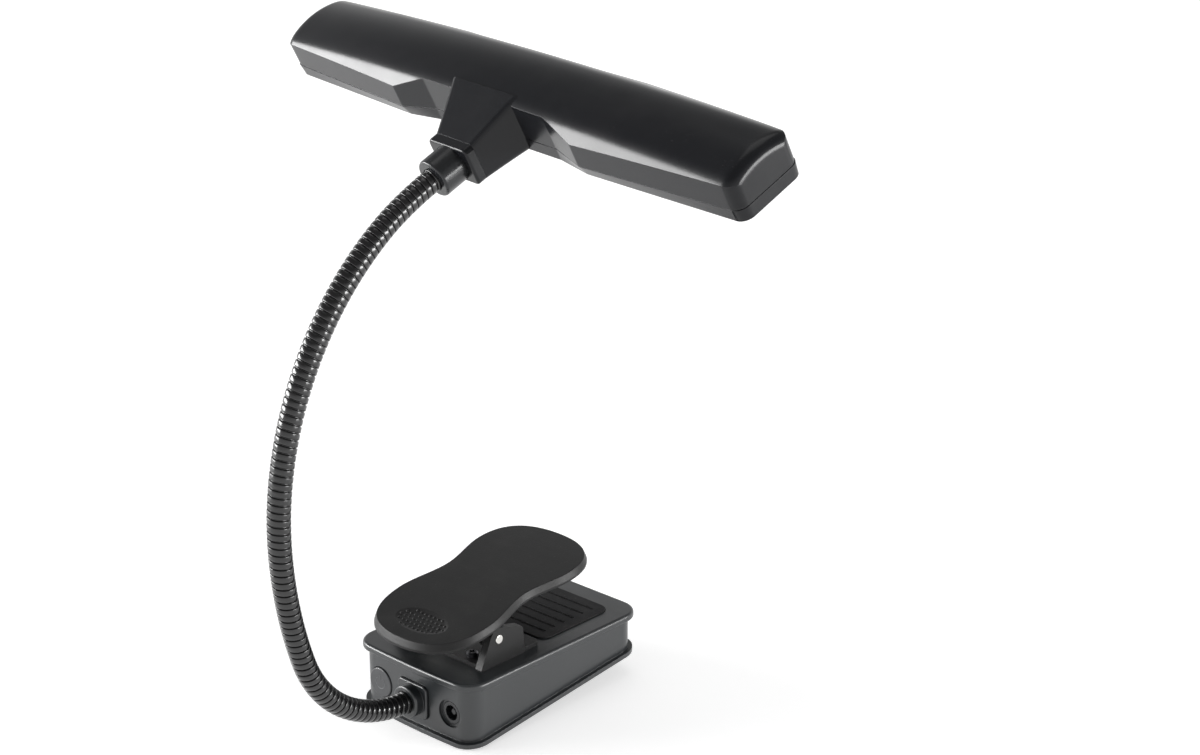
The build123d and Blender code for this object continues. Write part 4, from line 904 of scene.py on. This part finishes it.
def screwTree():
    tree, takes, gives = newTree("crossScrew", "GeometryNodeTree", {
        "Geometry": ("Geometry",), "Vector": ("Facing",),
        "Float": ("Head Radius", "Head Height", "Straight", "Top", "Shank Radius", "Shank Length",
                  "Recess Long", "Recess Wide", "Recess Deep"),
        "Material": ("Material",)}, {"Geometry": ("Geometry",)})

    def times(a, b):
        return mathNode(tree, "MULTIPLY", a, b)

    def lifted(shape, height):
        return addNode(tree, "GeometryNodeTransform", {
            "Geometry": shape.outputs["Mesh"], "Translation": combined(tree, z=height)}).outputs[0]

    top, radius = takes["Head Height"], takes["Head Radius"]
    # the head: straight, then drawn in
    straight = times(top, takes["Straight"])
    body = addNode(tree, "GeometryNodeMeshCylinder", {"Vertices": 28, "Radius": radius, "Depth": straight})
    crown = addNode(tree, "GeometryNodeMeshCone", {
        "Vertices": 28, "Radius Bottom": radius, "Radius Top": times(radius, takes["Top"]),
        "Depth": mathNode(tree, "SUBTRACT", top, straight)})
    shank = addNode(tree, "GeometryNodeMeshCylinder", {
        "Vertices": 20, "Radius": takes["Shank Radius"], "Depth": takes["Shank Length"]})
    whole = addNode(tree, "GeometryNodeMeshBoolean", operation="UNION")
    # the shank starts a little inside the head
    for shape, height in ((body, times(straight, 0.5)), (crown, straight),
                          (shank, times(takes["Shank Length"], -0.499))):
        tree.links.new(lifted(shape, height), whole.inputs["Mesh 2"])
    long, wide = (times(times(radius, 2.0), takes[name]) for name in ("Recess Long", "Recess Wide"))
    deep = times(times(top, takes["Recess Deep"]), 2.0)
    cut = addNode(tree, "GeometryNodeMeshBoolean", {"Mesh 1": whole.outputs["Mesh"]}, operation="DIFFERENCE")
    for x, y in ((long, wide), (wide, long)):
        arm = addNode(tree, "GeometryNodeMeshCube", {"Size": combined(tree, x, y, deep)})
        tree.links.new(lifted(arm, top), cut.inputs["Mesh 2"])
    aim = addNode(tree, "FunctionNodeAlignRotationToVector", {"Vector": takes["Facing"]}, axis="Z")
    # each screw stopped at its own turn
    turn = addNode(tree, "FunctionNodeRandomValue", {"Min": (0, 0, 0), "Max": (0, 0, 1.57), "Seed": 4},
                   data_type="FLOAT_VECTOR")
    spun = addNode(tree, "FunctionNodeRotateRotation", {
        "Rotation": aim.outputs[0], "Rotate By": turn.outputs["Value"]}, rotation_space="LOCAL")
    placed = addNode(tree, "GeometryNodeInstanceOnPoints", {
        "Points": takes["Geometry"], "Instance": cut.outputs["Mesh"], "Rotation": spun.outputs[0]}).outputs[0]
    return endTree(tree, placed, takes["Material"], gives["Geometry"])


def islands(node):
    # the corner points of each separate solid of a CAD node
    bm = looseMesh(node)
    seen, found = set(), []
    for first in bm.verts:
        if first in seen:
            continue
        seen.add(first)
        stack, points = [first], []
        while stack:
            vert = stack.pop()
            points.append(vert.co.copy())
            for edge in vert.link_edges:
                other = edge.other_vert(vert)
                if other not in seen:
                    seen.add(other)
                    stack.append(other)
        found.append(points)
    bm.free()
    return found


def makeScrews():
    tree = screwTree()
    for node, (body, facing, headHeight, shankRadius) in screws.items():
        across = facing.orthogonal().normalized()
        axes = (across, facing.cross(across), facing)
        groups = {}  # seats by the length of their shank
        for points in islands(node):
            spans = [(min(p.dot(axis) for p in points), max(p.dot(axis) for p in points)) for axis in axes]
            seat, radius = spans[2][1] - headHeight, (spans[0][1] - spans[0][0]) / 2
            middle = sum((axis * (low + high) / 2 for axis, (low, high) in zip(axes[:2], spans)),
                         facing * seat)
            groups.setdefault(round(seat - spans[2][0], 5), []).append(middle)
        joined = bmesh.new()
        for length, seats in groups.items():
            mesh = bpy.data.meshes.new("seats")
            mesh.from_pydata(seats, [], [])
            made = runTree(linkNew("seats", mesh), tree, {
                "Facing": facing, "Head Radius": radius, "Head Height": headHeight,
                "Straight": screwHead["straight"], "Top": screwHead["top"], "Shank Radius": shankRadius,
                "Shank Length": length, "Recess Long": recess["long"], "Recess Wide": recess["wide"],
                "Recess Deep": recess["deep"], "Material": finishes["screw_steel"]}, "made")
            joined.from_mesh(made.data)
            bpy.data.objects.remove(made)
            print(node, len(seats), "screws with a shank of", round(length * 1000, 2), "mm")
        piece = meshPiece(node + "_cross", joined)
        paint(piece, finishes["screw_steel"])
        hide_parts(node)
        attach(piece, body)


makeScrews()

cameraLook = {
    "place": (0.50986, -0.51831, 0.34439),
    "azimuth": 42.68,
    "down": 19.53,
    "lens": 67.17,
    "clip": (0.02, 30),
}
studio = {
    "fill": 0.36,  # what the white surroundings give to matt surfaces
    "whiteUpTo": 0.22,  # sine of the height to which gloss sees them white
    "darkFrom": 0.6,
    "ceiling": 0.25,  # and how bright it sees them overhead
    "floorReach": 8,
    "floorDrop": 0.0004,
    "floorColor": (0.86, 0.86, 0.86),
    "floorGlow": 0.5,  # lifts the floor to white for the eye and in gloss
    "farGlow": 0.72,  # the same where the boxes' light ends
    "glowFrom": 0.4,
    "glowTo": 1.8,
    "boxes": {  # shine is how bright a box looks, white is 1
        "frontBox": dict(place=(-1.27, -1.02, 0.40), aim=(0.0, -0.03, 0.17), size=(1.3, 0.46), shine=17.0),
        "topBox": dict(place=(-0.2, 0.3, 1.8), aim=(0.0, 0.0, 0.1), size=(1.1, 1.1), shine=0.8),
        "rightBox": dict(place=(1.5, 0.68, 0.28), aim=(0.02, 0.0, 0.05), size=(1.0, 0.42), shine=15.0),
    },
}


def stand(name, data, place, way):
    # a camera or a lamp that looks along way
    thing = linkNew(name, data)
    thing.location = place
    thing.rotation_mode = "QUATERNION"
    thing.rotation_quaternion = way.to_track_quat("-Z", "Y")
    return thing


def makeCamera(look):
    data = bpy.data.cameras.new("camera")
    data.sensor_width, data.sensor_fit, data.lens = 36, "HORIZONTAL", look["lens"]
    data.clip_start, data.clip_end = look["clip"]
    turn, down = math.radians(look["azimuth"]), math.radians(look["down"])
    way = Vector((-math.sin(turn) * math.cos(down), math.cos(turn) * math.cos(down), -math.sin(down)))
    bpy.context.scene.camera = stand("camera", data, look["place"], way)


def softBox(name, box):
    light = bpy.data.lights.new(name, "AREA")
    light.shape = "RECTANGLE"
    light.size, light.size_y = box["size"]
    light.energy = box["shine"] * math.pi * light.size * light.size_y
    stand(name, light, box["place"], Vector(box["aim"]) - Vector(box["place"]))


def seenRays(tree):
    # 1 where the eye, gloss or glass looks, 0 where light is only gathered
    rays = addNode(tree, "ShaderNodeLightPath").outputs
    return mathNode(tree, "MAXIMUM", rays["Is Camera Ray"],
                    mathNode(tree, "MAXIMUM", rays["Is Glossy Ray"], rays["Is Transmission Ray"]))


def makeSurround():
    # white to the eye, in gloss and through glass; softer on matt surfaces
    world = bpy.data.worlds.new("studio")
    bpy.context.scene.world = world
    world.use_nodes = True
    tree = world.node_tree
    height = heightOf(tree, addNode(tree, "ShaderNodeTexCoord").outputs["Generated"])
    overhead = mapRange(tree, height, studio["whiteUpTo"], studio["darkFrom"], 1.0, studio["ceiling"])
    direct = addNode(tree, "ShaderNodeLightPath").outputs["Is Camera Ray"]
    white = mathNode(tree, "MAXIMUM", overhead, direct)
    strength = mapRange(tree, seenRays(tree), 0.0, 1.0, studio["fill"], white)
    setInputs(tree, tree.nodes["Background"], {"Strength": strength, "Color": (1, 1, 1, 1)})


def makeFloor():
    bm = bmesh.new()
    bmesh.ops.create_grid(bm, x_segments=1, y_segments=1, size=studio["floorReach"])
    bmesh.ops.translate(bm, verts=bm.verts, vec=(0, 0, cadBox[0][2] - studio["floorDrop"]))
    floor = meshPiece("floor", bm)
    material, tree, shader = newMaterial("paleFloor")
    distance = vectorNode(tree, "LENGTH", objectPlace(tree))
    glow = mapRange(tree, distance, studio["glowFrom"], studio["glowTo"],
                    studio["floorGlow"], studio["farGlow"])
    setInputs(tree, shader, {
        "Base Color": (*studio["floorColor"], 1), "Roughness": 0.7, "Specular IOR Level": 0.2,
        "Emission Color": (1, 1, 1, 1),
        "Emission Strength": mathNode(tree, "MULTIPLY", seenRays(tree), glow)})
    paint(floor, material)


makeSurround()
makeFloor()
for name, box in studio["boxes"].items():
    softBox(name, box)
makeCamera(cameraLook)
bpy.context.scene.view_settings.view_transform = "Standard"
print("studio ready")
